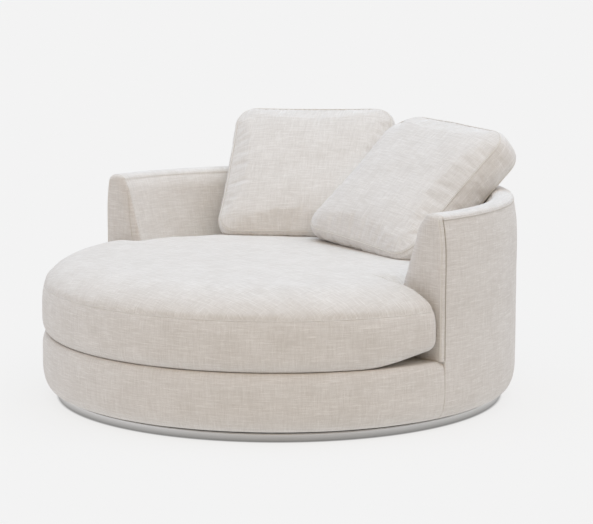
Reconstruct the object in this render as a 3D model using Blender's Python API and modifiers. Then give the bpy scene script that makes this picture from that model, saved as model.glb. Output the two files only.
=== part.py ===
"""Round swivel armchair with a T-shaped seat cushion and two loose back pillows.

The chair turns about the world Z axis. It faces -Y and stands on Z = 0.
All lengths are in metres, all angles in degrees.
"""

import math

import bmesh
import bpy
from mathutils import Matrix, Vector

# Overall form of the drum, the arms and the back
OVERALL_RADIUS = 0.775
SEAT_LEVEL = 0.2150          # top of the upholstered drum, where the seat cushion lies
STRIP_LEVEL = 0.6460         # seams of the soft strip along the top of arms and back
STRIP_CROWN = 0.0170         # how far the strip rises above its seams
ARM_FRONT_DEPTH = 0.0810     # both arms end in one plane this far in front of the axis
ARM_WIDTH = 0.1710           # arms and back, from the outside to their inner face beside the seat cushion
ARM_TOP_WIDTH = 0.0955       # and to the strip's inner seam
SHOULDER_INSET = 0.0090      # how far the outer wall leans in up to the strip
COVER_PADDING = 0.0265       # depth of the outer padding, up to the frame

# Fits and finishes shared by all pieces
SEATED_GAP = 0.0003          # left between pieces that touch
LOOSE_GAP = 0.0025           # left beside soft pieces that lift out
FRAME_GAP = 0.0005           # between the frame and the padding round it
CUT_OVERRUN = 0.05           # how far a cutter reaches past what it cuts
TURN_STEPS = 64              # facets of a large turned piece
BEARING_STEPS = 36
SMALL_STEPS = 12             # facets of a screw, a bolt or a glide

# Floor glides
GLIDE_HEIGHT = 0.0040
GLIDE_RADIUS = 0.0200
GLIDE_FOOT_RADIUS = 0.0180
GLIDE_INSET = 0.0657         # from the plinth board's edge to the glides' centres
GLIDE_COUNT = 6

# Plinth
PLINTH_INSET = 0.0123        # from the base board's edge in to the plinth board's
PLINTH_BOARD_THICKNESS = 0.0180
TRIM_WALL = 0.0020
TRIM_FLOOR_GAP = 0.0015
TRIM_FLANGE_WIDTH = 0.0180
TRIM_FLANGE_THICKNESS = 0.0015
TRIM_EDGE_ROUND = 0.0008

# Turntable bearing
RACE_RADIUS = 0.2500
BEARING_PLATE_THICKNESS = 0.0020
BEARING_PLATE_MARGIN = 0.0120     # outside the race
BEARING_LIP_HEIGHT = 0.0015
BEARING_LIP_WALL = 0.0020
BALL_RADIUS = 0.0030
BALL_COUNT = 12
BALL_SEGMENTS = 6
BALL_RINGS = 4
CAGE_WIDTH = 0.0100
CAGE_THICKNESS = 0.0010

# Screws and bolts of the bearing
FASTENER_COUNT = 3
FASTENER_INSET = 0.0300      # from the race in to the screws' circle
FASTENER_MARGIN = 0.0200     # from the screws' circle to the plates' inner edge
HOLE_GAP = 0.0003
SCREW_SHANK_RADIUS = 0.0020
SCREW_HEAD_RADIUS = 0.0050
SCREW_HEAD_HEIGHT = 0.0018
SCREW_LENGTH = 0.0140
BOLT_SHANK_RADIUS = 0.0030
BOLT_HEAD_RADIUS = 0.0080
BOLT_HEAD_HEIGHT = 0.0045

# Rotating timber frame of the drum
BASE_BOARD_INSET = 0.0105    # from the back of the outer padding
BASE_BOARD_THICKNESS = 0.0180
DECK_RING_WIDTH = 0.1680
DECK_RING_THICKNESS = 0.0180
DECK_RING_TOP = 0.1680
DRUM_POST_COUNT = 6
DRUM_POST_DEPTH = 0.0700
DRUM_POST_WIDTH = 0.0450
DRUM_POST_INSET = 0.0130     # from the base board's edge

# Elastic webbing, woven over and under
WEBBING_COUNT = 5
WEBBING_SIDE_INSET = 0.1200  # of the outermost straps, from the deck ring's inside
WEBBING_WIDTH = 0.0700
WEBBING_THICKNESS = 0.0015
WEBBING_WAVE = 0.0014
WEBBING_LANDING = 0.0600     # how far a strap laps onto the deck ring

# Deck pad
DECK_PAD_RIM = 0.0470        # width of its full-height rim, which bears on the deck ring

# Frame of the arms and the back
BACK_POST_COUNT = 5
BACK_POST_SPACING = 36.0     # degrees between neighbours
BACK_POST_DEPTH = 0.0305
BACK_POST_WIDTH = 0.0450
TOP_RAIL_THICKNESS = 0.0180
PAD_GAP = 0.0010             # between the inner padding and the posts behind it
ARM_COVER_THICKNESS = 0.0155
END_PANEL_THICKNESS = 0.0180
END_PANEL_INSET = 0.0045     # from the back of the outer padding
END_PANEL_TOP_WIDTH = 0.0400
END_PANEL_FOOT_WIDTH = 0.0790
END_PANEL_WAIST_LEVEL = 0.4300

# Drum upholstery
DRUM_BOTTOM = 0.0285
DRUM_LIP_WIDTH = 0.0330      # how far the lip reaches in under the base board
DRUM_LIP_STEP = 0.0520       # height where the lining steps out from the base board
DRUM_LIP_SLOPE = 0.0080
DRUM_ROLL_HEIGHT = 0.0850
DRUM_ROLL_WIDTH = 0.0370
DRUM_TOP_ROLL_HEIGHT = 0.0260
DRUM_TOP_ROLL_WIDTH = 0.0170
DRUM_BULGE = 0.0040

# Seat cushion
CUSHION_UNDERSIDE_GAP = 0.0004
CUSHION_FRONT_SEAM = 0.3720
CUSHION_REAR_SEAM = 0.4050
CUSHION_CROWN_LEVEL = 0.4560
CUSHION_CROWN_CENTRE_DEPTH = 0.2500
CUSHION_UNDERSIDE_CENTRE_DEPTH = 0.4500
CUSHION_LOWER_TUCK = 0.0120
CUSHION_SIDE_BULGE = 0.0040
CUSHION_SEAM_TUCK = 0.0040
CUSHION_BULGE_LEVEL = 0.2900
CUSHION_COVER_THICKNESS = 0.0040
CUSHION_CORE_GAP = 0.0012
CUSHION_EAR_ROUND = 0.0300
CUSHION_FRONT_ANGLES = (180, 162, 144, 127, 112)    # of its outline's points, counted from the rear
CUSHION_REAR_ANGLES = (66, 44, 22, 0)
SEAT_ZIP_HALF_ANGLE = 26.0
SEAT_ZIP_WIDTH = 0.0130
SEAT_ZIP_THICKNESS = 0.0030
SEAT_ZIP_LEVEL = 0.2950

# Back pillows
PILLOW_SIDE_ALLOWANCE = 0.0390    # a pillow is as wide as half the space between the arms, less this
PILLOW_HEIGHT = 0.5550
PILLOW_EDGE = 0.0550         # width of the boxing between the two seams
PILLOW_CROWN = 0.0430        # how far each face rises above its seam
PILLOW_COVER_THICKNESS = 0.0030
PILLOW_FILLING_GAP = 0.0008
PILLOW_CUTS = 4
PILLOW_ZIP_LENGTH = 0.3200
PILLOW_ZIP_WIDTH = 0.0080
PILLOW_ZIP_THICKNESS = 0.0025
PILLOW_BACK_FULLNESS = {"pillow_left": 0.0, "pillow_right": 0.0335}    # where the back lies on the rim
PILLOW_SETBACKS = {"pillow_left": 0.0443, "pillow_right": 0.1770}    # in from where its width spans the back
PILLOW_RISES = {"pillow_left": 0.0055, "pillow_right": 0.0106}       # centre above the seams of the strip
PILLOW_TURNS = {
    # name: turn about the vertical, lean backwards, roll in its own plane
    "pillow_left": (32.7, 44.5, -1.0),
    "pillow_right": (-7.3, 47.0, 5.6),
}

# Shapes given as shares of the sizes that they follow
INNER_FACE_SHARES = ((0, 0), (0, 0.36), (0.05, 0.475), (0.30, 0.615), (0.57, 0.754), (0.82, 0.893), (1, 1))
SHOULDER_SHARES = ((1, 1), (0.4, 0.9), (0, 0.75))
ROLL_FULLNESS_SHARE = 0.7
BULGE_SHARES = ((0.2, 0.80), (0.8, 0.55), (1, 0.25), (0.5, 0.05))
CROWN_RING_SHARES = (0.84, 0.45)
CROWN_FULLNESS_SHARE = 0.6
CUSHION_EAR_RISE_SHARES = (0.05, 0.2, 0.6)    # how the seam climbs round the ears of the T
PILLOW_PINCH_SHARE = 0.018
PILLOW_CORNER_SHARE = 0.035
PILLOW_CROWN_POWER_SHARE = 2.5
PILLOW_BACK_RAMP_SHARE = 0.6    # of the height, up from the lower edge, over which the extra depth grows
PILLOW_SIDE_SHARES = {"pillow_left": -0.0357, "pillow_right": 0.2426}    # sideways from its span's middle
SEAM_CREASE_SHARE = 0.85

# Radii worked out from the outside inwards
INNER_RADIUS_LOW = OVERALL_RADIUS - ARM_WIDTH
INNER_RADIUS_TOP = OVERALL_RADIUS - ARM_TOP_WIDTH
COVER_INNER_RADIUS = OVERALL_RADIUS - COVER_PADDING
DECK_RING_OUTER_RADIUS = COVER_INNER_RADIUS - FRAME_GAP
DECK_RING_INNER_RADIUS = DECK_RING_OUTER_RADIUS - DECK_RING_WIDTH
BASE_BOARD_RADIUS = COVER_INNER_RADIUS - BASE_BOARD_INSET
DRUM_POST_OUTER_RADIUS = BASE_BOARD_RADIUS - DRUM_POST_INSET
DRUM_LIP_INNER_RADIUS = BASE_BOARD_RADIUS - DRUM_LIP_WIDTH
PLINTH_BOARD_RADIUS = BASE_BOARD_RADIUS - PLINTH_INSET
GLIDE_CIRCLE_RADIUS = PLINTH_BOARD_RADIUS - GLIDE_INSET
BACK_POST_INNER_RADIUS = COVER_INNER_RADIUS - LOOSE_GAP - BACK_POST_DEPTH
PAD_OUTER_RADIUS = BACK_POST_INNER_RADIUS - PAD_GAP
DECK_PAD_RADIUS = PAD_OUTER_RADIUS - LOOSE_GAP
DECK_PAD_RECESS_RADIUS = DECK_PAD_RADIUS - DECK_PAD_RIM
END_PANEL_OUTER_X = COVER_INNER_RADIUS - END_PANEL_INSET
END_PANEL_FOOT_X = END_PANEL_OUTER_X - END_PANEL_FOOT_WIDTH
PILLOW_WIDTH = INNER_RADIUS_LOW - PILLOW_SIDE_ALLOWANCE
BEARING_PLATE_OUTER_RADIUS = RACE_RADIUS + BEARING_PLATE_MARGIN
FASTENER_CIRCLE_RADIUS = RACE_RADIUS - FASTENER_INSET
BEARING_PLATE_INNER_RADIUS = FASTENER_CIRCLE_RADIUS - FASTENER_MARGIN
WEBBING_PITCH = (DECK_RING_INNER_RADIUS - WEBBING_SIDE_INSET) * 2 / (WEBBING_COUNT - 1)

# Levels worked out from the sizes above
PLINTH_BOTTOM = GLIDE_HEIGHT + SEATED_GAP
PLINTH_TOP = PLINTH_BOTTOM + PLINTH_BOARD_THICKNESS
LOWER_PLATE_BOTTOM = PLINTH_TOP + SEATED_GAP
LOWER_PLATE_TOP = LOWER_PLATE_BOTTOM + BEARING_PLATE_THICKNESS
BALL_LEVEL = LOWER_PLATE_TOP + SEATED_GAP + BALL_RADIUS
UPPER_PLATE_BOTTOM = BALL_LEVEL + BALL_RADIUS + SEATED_GAP
UPPER_PLATE_TOP = UPPER_PLATE_BOTTOM + BEARING_PLATE_THICKNESS
BASE_BOARD_BOTTOM = UPPER_PLATE_TOP + SEATED_GAP
BASE_BOARD_TOP = BASE_BOARD_BOTTOM + BASE_BOARD_THICKNESS
DECK_RING_BOTTOM = DECK_RING_TOP - DECK_RING_THICKNESS
TRIM_OUTER_RADIUS = PLINTH_BOARD_RADIUS + SEATED_GAP + TRIM_WALL
PAD_TOP = STRIP_LEVEL - SEATED_GAP
PAD_BOTTOM = SEAT_LEVEL + SEATED_GAP
TOP_RAIL_TOP = PAD_TOP
TOP_RAIL_BOTTOM = TOP_RAIL_TOP - TOP_RAIL_THICKNESS
COVER_SPLIT_DEPTH = ARM_FRONT_DEPTH - ARM_COVER_THICKNESS
SHELL_FRONT_DEPTH = COVER_SPLIT_DEPTH - SEATED_GAP
CUSHION_BOTTOM = SEAT_LEVEL + CUSHION_UNDERSIDE_GAP
CUSHION_REAR_RADIUS = INNER_RADIUS_LOW - LOOSE_GAP
CUSHION_EAR_DEPTH = ARM_FRONT_DEPTH + LOOSE_GAP
FULL_TURN = 2 * math.pi

# Colours, roughness and metallic value of each material
FINISHES = {
    "upholstery": ((0.78, 0.75, 0.70), 0.95, 0.0),
    "cushion_fabric": ((0.80, 0.77, 0.72), 0.95, 0.0),
    "pillow_fabric": ((0.79, 0.76, 0.71), 0.95, 0.0),
    "foam": ((0.86, 0.80, 0.62), 0.90, 0.0),
    "timber": ((0.66, 0.50, 0.32), 0.70, 0.0),
    "brushed_steel": ((0.62, 0.61, 0.59), 0.32, 1.0),
    "zinc": ((0.70, 0.71, 0.72), 0.40, 1.0),
    "glide_plastic": ((0.05, 0.05, 0.05), 0.60, 0.0),
    "elastic": ((0.12, 0.12, 0.13), 0.85, 0.0),
    "zip_tape": ((0.74, 0.71, 0.66), 0.60, 0.0),
}


# Scene and object helpers

def clear_scene():
    for obj in list(bpy.data.objects):
        bpy.data.objects.remove(obj, do_unlink=True)


def new_collection(name):
    collection = bpy.data.collections.new(name)
    bpy.context.scene.collection.children.link(collection)
    return collection


def make_materials():
    made = {}
    for name, (colour, roughness, metallic) in FINISHES.items():
        material = bpy.data.materials.new(name)
        material.use_nodes = True
        shader = material.node_tree.nodes["Principled BSDF"]
        shader.inputs["Base Color"].default_value = (*colour, 1)
        shader.inputs["Roughness"].default_value = roughness
        shader.inputs["Metallic"].default_value = metallic
        material.diffuse_color = (*colour, 1)
        made[name] = material
    return made


def add_part(name, mesh, finish, parent):
    obj = bpy.data.objects.new(name, mesh)
    mesh.materials.append(MATERIALS[finish])
    PARTS.objects.link(obj)
    obj.parent = parent
    return obj


def add_cutter(name, mesh):
    obj = bpy.data.objects.new(name, mesh)
    CUTTERS.objects.link(obj)
    obj.hide_render = True
    obj.display_type = "WIRE"
    return obj


def add_axis(name, parent=None, place=(0, 0, 0)):
    empty = bpy.data.objects.new(name, None)
    PARTS.objects.link(empty)
    empty.parent = parent
    empty.location = place
    return empty


def mesh_from(bm, name):
    mesh = bpy.data.meshes.new(name)
    bm.to_mesh(mesh)
    bm.free()
    return mesh


def box_mesh(name, low, high):
    """A box between two corners, started from the cube primitive."""
    bm = bmesh.new()
    bmesh.ops.create_cube(bm, size=1)
    low, high = Vector(low), Vector(high)
    size = high - low
    middle = (high + low) / 2
    bmesh.ops.scale(bm, vec=size, verts=bm.verts)
    bmesh.ops.translate(bm, vec=middle, verts=bm.verts)
    return mesh_from(bm, name)


def cylinder_mesh(name, lower_radius, upper_radius, bottom, top, steps):
    bm = bmesh.new()
    bmesh.ops.create_cone(
        bm, cap_ends=True, segments=steps, radius1=lower_radius, radius2=upper_radius, depth=top - bottom)
    bmesh.ops.translate(bm, vec=(0, 0, (top + bottom) / 2), verts=bm.verts)
    return mesh_from(bm, name)


def profile_mesh(name, profile, closed):
    """An outline of (radius, height) points in the XZ plane, for the Screw modifier."""
    last = len(profile) - 1
    edges = [(i, i + 1) for i in range(last)]
    if closed:
        edges.append((last, 0))
    mesh = bpy.data.meshes.new(name)
    mesh.from_pydata([(radius, 0, height) for radius, height in profile], edges, [])
    return mesh


def turn(obj, steps):
    screw = obj.modifiers.new("turn", "SCREW")
    screw.angle = FULL_TURN
    screw.steps = steps
    screw.render_steps = steps
    screw.use_merge_vertices = True
    screw.merge_threshold = 1e-5
    screw.use_smooth_shade = True
    return obj


def turned_part(name, profile, finish, parent, steps=TURN_STEPS, closed=True):
    obj = add_part(name, profile_mesh(name, profile, closed), finish, parent)
    return turn(obj, steps)


def turned_cutter(name, profile, steps=TURN_STEPS):
    return turn(add_cutter(name, profile_mesh(name, profile, True)), steps)


def boolean(obj, operation, other):
    modifier = obj.modifiers.new(operation.lower(), "BOOLEAN")
    modifier.operation = operation
    modifier.object = other
    modifier.solver = "EXACT"
    return modifier


def on_circle(radius, degrees):
    """A point on a circle, with the angle counted from the rear (+Y) towards +X."""
    angle = math.radians(degrees)
    return Vector((radius * math.sin(angle), radius * math.cos(angle), 0))


# Shared outlines

def strip_curve(steps=3):
    """Crown of the top strip: points from its middle outwards, then from the inner seam back."""
    outer = OVERALL_RADIUS - SHOULDER_INSET
    middle = (outer + INNER_RADIUS_TOP) / 2
    half = (outer - INNER_RADIUS_TOP) / 2
    quarter = math.pi / 2

    def point(angle):
        rise = STRIP_CROWN * math.sin(angle) ** CROWN_FULLNESS_SHARE
        return (middle + half * math.cos(angle), STRIP_LEVEL + rise)

    outer_side = [point(quarter * (1 - i / steps)) for i in range(steps)] + [(outer, STRIP_LEVEL)]
    inner_side = [(INNER_RADIUS_TOP, STRIP_LEVEL)]
    inner_side += [point(math.pi - quarter * i / steps) for i in range(1, steps)]
    return outer_side, inner_side


def inner_face(bottom, top):
    """Inner face of arms and back from the seat up to the strip."""
    width = INNER_RADIUS_TOP - INNER_RADIUS_LOW
    height = top - bottom
    return [(INNER_RADIUS_LOW + width * out, bottom + height * up) for out, up in INNER_FACE_SHARES]


def shoulder(top):
    """Upper outer wall, which leans in a little up to the strip."""
    height = top - SEAT_LEVEL
    return [(OVERALL_RADIUS - SHOULDER_INSET * inset, SEAT_LEVEL + height * up)
            for inset, up in SHOULDER_SHARES]


def bottom_roll(steps=5):
    """The drum's lower edge rolls under towards the floor."""
    points = []
    for i in range(steps + 1):
        angle = math.pi / 2 * i / steps
        inset = DRUM_ROLL_WIDTH * (1 - math.cos(angle) ** ROLL_FULLNESS_SHARE)
        drop = DRUM_ROLL_HEIGHT * math.sin(angle)
        points.append((OVERALL_RADIUS - inset, DRUM_BOTTOM + DRUM_ROLL_HEIGHT - drop))
    return points


def lining():
    """Inside of the drum's padding: its lip under the base board, then up past the deck ring."""
    board_radius = BASE_BOARD_RADIUS + SEATED_GAP
    lip_top = BASE_BOARD_BOTTOM - SEATED_GAP
    return [
        (DRUM_LIP_INNER_RADIUS, DRUM_BOTTOM),
        (DRUM_LIP_INNER_RADIUS, lip_top),
        (board_radius, lip_top),
        (board_radius, DRUM_LIP_STEP),
        (COVER_INNER_RADIUS, DRUM_LIP_STEP + DRUM_LIP_SLOPE),
    ]


# Cutters that several pieces share

def front_half_cutter(name, depth):
    """Takes away everything in front of the plane y = -depth."""
    reach = OVERALL_RADIUS + CUT_OVERRUN
    top = STRIP_LEVEL + STRIP_CROWN + CUT_OVERRUN
    return add_cutter(name, box_mesh(name, (-reach, -reach, -CUT_OVERRUN), (reach, -depth, top)))


def rear_half_cutter(name, depth):
    """Takes away everything behind the plane y = -depth."""
    reach = OVERALL_RADIUS + CUT_OVERRUN
    top = STRIP_LEVEL + STRIP_CROWN + CUT_OVERRUN
    return add_cutter(name, box_mesh(name, (-reach, -depth, -CUT_OVERRUN), (reach, reach, top)))


def hole_cutter(name, radius, bottom, top, place):
    cutter = add_cutter(name, cylinder_mesh(name, radius, radius, bottom, top, SMALL_STEPS))
    cutter.location = place
    return cutter


# Plinth

def make_plinth(parent):
    board_mesh = cylinder_mesh(
        "plinth_board", PLINTH_BOARD_RADIUS, PLINTH_BOARD_RADIUS, PLINTH_BOTTOM, PLINTH_TOP, TURN_STEPS)
    board = add_part("plinth_board", board_mesh, "timber", parent)

    flange_bottom = PLINTH_TOP + SEATED_GAP
    trim_top = flange_bottom + TRIM_FLANGE_THICKNESS
    inner = TRIM_OUTER_RADIUS - TRIM_WALL
    flange_inner = TRIM_OUTER_RADIUS - TRIM_FLANGE_WIDTH
    turned_part("plinth_trim_ring", [
        (TRIM_OUTER_RADIUS, trim_top - TRIM_EDGE_ROUND),
        (TRIM_OUTER_RADIUS, TRIM_FLOOR_GAP),
        (inner, TRIM_FLOOR_GAP),
        (inner, flange_bottom),
        (flange_inner, flange_bottom),
        (flange_inner, trim_top),
        (TRIM_OUTER_RADIUS - TRIM_EDGE_ROUND, trim_top),
    ], "brushed_steel", parent)

    glide_mesh = cylinder_mesh("glide", GLIDE_FOOT_RADIUS, GLIDE_RADIUS, 0, GLIDE_HEIGHT, SMALL_STEPS)
    glide_mesh.materials.append(MATERIALS["glide_plastic"])
    names = ["centre_glide"] + [f"floor_glide_{i + 1}" for i in range(GLIDE_COUNT)]
    places = [Vector((0, 0, 0))]
    places += [on_circle(GLIDE_CIRCLE_RADIUS, 360 * i / GLIDE_COUNT) for i in range(GLIDE_COUNT)]
    for name, place in zip(names, places):
        glide = bpy.data.objects.new(name, glide_mesh)
        PARTS.objects.link(glide)
        glide.parent = parent
        glide.location = place
    return board


# Turntable bearing

def bearing_plate(name, face, direction, parent):
    """A pressed ring with a low lip round the balls; direction is where the balls lie."""
    back = face - direction * BEARING_PLATE_THICKNESS
    lip = face + direction * BEARING_LIP_HEIGHT
    outer = BEARING_PLATE_OUTER_RADIUS
    profile = [
        (outer, lip), (outer, back), (BEARING_PLATE_INNER_RADIUS, back), (BEARING_PLATE_INNER_RADIUS, face),
        (outer - BEARING_LIP_WALL, face), (outer - BEARING_LIP_WALL, lip)]
    if direction < 0:
        profile.reverse()
    return turned_part(name, profile, "zinc", parent, steps=BEARING_STEPS)


def make_ball_cage(parent):
    """The flat cage and its balls, joined into one body."""
    inner = RACE_RADIUS - CAGE_WIDTH / 2
    outer = RACE_RADIUS + CAGE_WIDTH / 2
    low = BALL_LEVEL - CAGE_THICKNESS / 2
    high = BALL_LEVEL + CAGE_THICKNESS / 2
    cage = turned_part(
        "bearing_ball_cage", [(outer, high), (outer, low), (inner, low), (inner, high)], "zinc", parent,
        steps=BEARING_STEPS)
    bm = bmesh.new()
    for i in range(BALL_COUNT):
        place = on_circle(RACE_RADIUS, 360 * i / BALL_COUNT)
        place.z = BALL_LEVEL
        bmesh.ops.create_uvsphere(
            bm, u_segments=BALL_SEGMENTS, v_segments=BALL_RINGS, radius=BALL_RADIUS,
            matrix=Matrix.Translation(place))
    balls = add_cutter("balls", mesh_from(bm, "balls"))
    boolean(cage, "UNION", balls)
    return cage


def headed_pin(name, shank_radius, head_radius, under_head, head_height, tip, finish, parent, place):
    """A round-headed screw or bolt that stands upright, turned about its own axis."""
    top = under_head + head_height
    profile = [(0, top), (head_radius, top), (head_radius, under_head), (shank_radius, under_head),
               (shank_radius, tip), (0, tip)]
    pin = turned_part(name, profile, finish, parent, steps=SMALL_STEPS, closed=False)
    pin.location = place
    return pin


def make_fasteners(plinth, chair, plinth_board, lower_plate, upper_plate, base_board):
    spacing = 360 / FASTENER_COUNT
    for i in range(FASTENER_COUNT):
        place = on_circle(FASTENER_CIRCLE_RADIUS, spacing * i)
        tip = LOWER_PLATE_TOP - SCREW_LENGTH
        headed_pin(f"bearing_screw_{i + 1}", SCREW_SHANK_RADIUS, SCREW_HEAD_RADIUS, LOWER_PLATE_TOP + SEATED_GAP,
                   SCREW_HEAD_HEIGHT, tip, "zinc", plinth, place)
        hole = hole_cutter(f"screw_hole_{i + 1}", SCREW_SHANK_RADIUS + HOLE_GAP, tip - SEATED_GAP,
                           BALL_LEVEL, place)
        boolean(plinth_board, "DIFFERENCE", hole)
        boolean(lower_plate, "DIFFERENCE", hole)

        place = on_circle(FASTENER_CIRCLE_RADIUS, spacing * (i + 0.5))
        headed_pin(f"bearing_bolt_{i + 1}", BOLT_SHANK_RADIUS, BOLT_HEAD_RADIUS, BASE_BOARD_TOP + SEATED_GAP,
                   BOLT_HEAD_HEIGHT, UPPER_PLATE_BOTTOM, "zinc", chair, place)
        hole = hole_cutter(f"bolt_hole_{i + 1}", BOLT_SHANK_RADIUS + HOLE_GAP, BALL_LEVEL,
                           BASE_BOARD_TOP + CUT_OVERRUN, place)
        boolean(upper_plate, "DIFFERENCE", hole)
        boolean(base_board, "DIFFERENCE", hole)


# Timber frame

def make_base_board(parent):
    mesh = cylinder_mesh(
        "base_board", BASE_BOARD_RADIUS, BASE_BOARD_RADIUS, BASE_BOARD_BOTTOM, BASE_BOARD_TOP, TURN_STEPS)
    return add_part("base_board", mesh, "timber", parent)


def upright(name, depth, width, outer_radius, bottom, top, degrees, parent):
    """A post with one side square to the radius, at an angle counted from the rear."""
    inner = outer_radius - depth
    mesh = box_mesh(name, (-width / 2, inner, bottom), (width / 2, outer_radius, top))
    post = add_part(name, mesh, "timber", parent)
    post.rotation_euler = (0, 0, -math.radians(degrees))
    return post


def make_drum_frame(parent):
    for i in range(DRUM_POST_COUNT):
        upright(f"drum_post_{i + 1}", DRUM_POST_DEPTH, DRUM_POST_WIDTH, DRUM_POST_OUTER_RADIUS,
                BASE_BOARD_TOP + SEATED_GAP, DECK_RING_BOTTOM - SEATED_GAP, 360 * i / DRUM_POST_COUNT, parent)
    turned_part("deck_ring", [
        (DECK_RING_OUTER_RADIUS, DECK_RING_TOP), (DECK_RING_OUTER_RADIUS, DECK_RING_BOTTOM),
        (DECK_RING_INNER_RADIUS, DECK_RING_BOTTOM), (DECK_RING_INNER_RADIUS, DECK_RING_TOP),
    ], "timber", parent)


def make_back_frame(parent):
    bottom = DECK_RING_TOP + SEATED_GAP
    outer = BACK_POST_INNER_RADIUS + BACK_POST_DEPTH
    middle = (BACK_POST_COUNT - 1) / 2
    for i in range(BACK_POST_COUNT):
        upright(f"back_post_{i + 1}", BACK_POST_DEPTH, BACK_POST_WIDTH, outer, bottom,
                TOP_RAIL_BOTTOM - SEATED_GAP, BACK_POST_SPACING * (i - middle), parent)
    rail = turned_part("back_top_rail", [
        (outer, TOP_RAIL_TOP), (outer, TOP_RAIL_BOTTOM),
        (BACK_POST_INNER_RADIUS, TOP_RAIL_BOTTOM), (BACK_POST_INNER_RADIUS, TOP_RAIL_TOP),
    ], "timber", parent)
    boolean(rail, "DIFFERENCE", front_half_cutter("rail_front_cutter", SHELL_FRONT_DEPTH))


def end_panel_outline(side, margin):
    """Outline in X and Z of the board that closes an arm, notched over the deck pad's edge."""
    top = TOP_RAIL_BOTTOM - SEATED_GAP
    foot = SEAT_LEVEL + 2 * SEATED_GAP
    ledge = PAD_OUTER_RADIUS + LOOSE_GAP
    points = [
        (END_PANEL_OUTER_X + margin, DECK_RING_TOP + SEATED_GAP - margin),
        (END_PANEL_OUTER_X + margin, top + margin),
        (END_PANEL_OUTER_X - END_PANEL_TOP_WIDTH - margin, top + margin),
        (END_PANEL_FOOT_X - margin, END_PANEL_WAIST_LEVEL),
        (END_PANEL_FOOT_X - margin, foot - margin),
        (ledge - margin, foot - margin),
        (ledge - margin, DECK_RING_TOP + SEATED_GAP - margin),
    ]
    return [(side * x, z) for x, z in points]


def slab(name, outline, front, back):
    """A flat board: an outline in X and Z, thick from y = -front to y = -back."""
    bm = bmesh.new()
    corners = [bm.verts.new((x, -front, z)) for x, z in outline]
    face = bm.faces.new(corners)
    grown = bmesh.ops.extrude_face_region(bm, geom=[face])
    moved = [item for item in grown["geom"] if isinstance(item, bmesh.types.BMVert)]
    bmesh.ops.translate(bm, vec=(0, front - back, 0), verts=moved)
    bmesh.ops.recalc_face_normals(bm, faces=bm.faces)
    return mesh_from(bm, name)


def make_end_panels(parent, inner_pad):
    for side, word in ((-1, "left"), (1, "right")):
        name = f"arm_end_panel_{word}"
        back = SHELL_FRONT_DEPTH - END_PANEL_THICKNESS
        add_part(name, slab(name, end_panel_outline(side, 0), SHELL_FRONT_DEPTH, back), "timber", parent)
        pocket = slab(f"{name}_pocket", end_panel_outline(side, SEATED_GAP),
                      SHELL_FRONT_DEPTH + CUT_OVERRUN, back - SEATED_GAP)
        boolean(inner_pad, "DIFFERENCE", add_cutter(f"{name}_pocket", pocket))


# Webbing and deck

def strap_half_length(offset):
    return math.sqrt(DECK_RING_INNER_RADIUS ** 2 - offset ** 2) + WEBBING_LANDING


def make_strap(name, index, along_x, parent):
    """One elastic strap that passes over and under the straps it crosses."""
    middle = (WEBBING_COUNT - 1) / 2
    offset = WEBBING_PITCH * (index - middle)
    half = strap_half_length(offset)
    rest = DECK_RING_TOP + SEATED_GAP + WEBBING_THICKNESS / 2 + WEBBING_WAVE
    first = -1 if along_x else 1
    knots = []
    step = WEBBING_PITCH / 2
    count = int(half / step)
    for k in range(-count, count + 1):
        phase = math.cos(math.pi * (k / 2 + index - middle))
        knots.append((k * step, rest + first * WEBBING_WAVE * phase))
    lowest = rest - WEBBING_WAVE
    knots = [(s, z) for s, z in knots if abs(s) < half - WEBBING_LANDING]
    knots = [(-half, lowest)] + knots + [(half, lowest)]
    bm = bmesh.new()
    rows = []
    for s, z in knots:
        rows.append([bm.verts.new((s, side * WEBBING_WIDTH / 2, z)) for side in (-1, 1)])
    for row, following in zip(rows, rows[1:]):
        bm.faces.new((row[0], following[0], following[1], row[1]))
    strap = add_part(name, mesh_from(bm, name), "elastic", parent)
    solid = strap.modifiers.new("thickness", "SOLIDIFY")
    solid.thickness = WEBBING_THICKNESS
    solid.offset = 0
    if along_x:
        strap.location = (0, offset, 0)
    else:
        strap.location = (offset, 0, 0)
        strap.rotation_euler = (0, 0, math.pi / 2)
    return strap


def make_deck(parent):
    for i in range(WEBBING_COUNT):
        make_strap(f"webbing_cross_{i + 1}", i, True, parent)
        make_strap(f"webbing_long_{i + 1}", i, False, parent)
    straps_top = DECK_RING_TOP + SEATED_GAP + WEBBING_THICKNESS + 2 * WEBBING_WAVE
    turned_part("deck_pad", [
        (0, SEAT_LEVEL),
        (DECK_PAD_RADIUS, SEAT_LEVEL),
        (DECK_PAD_RADIUS, DECK_RING_TOP + SEATED_GAP),
        (DECK_PAD_RECESS_RADIUS, DECK_RING_TOP + SEATED_GAP),
        (DECK_PAD_RECESS_RADIUS, straps_top + SEATED_GAP),
        (0, straps_top + SEATED_GAP),
    ], "foam", parent, closed=False)


# Upholstery of the shell and the drum

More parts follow.
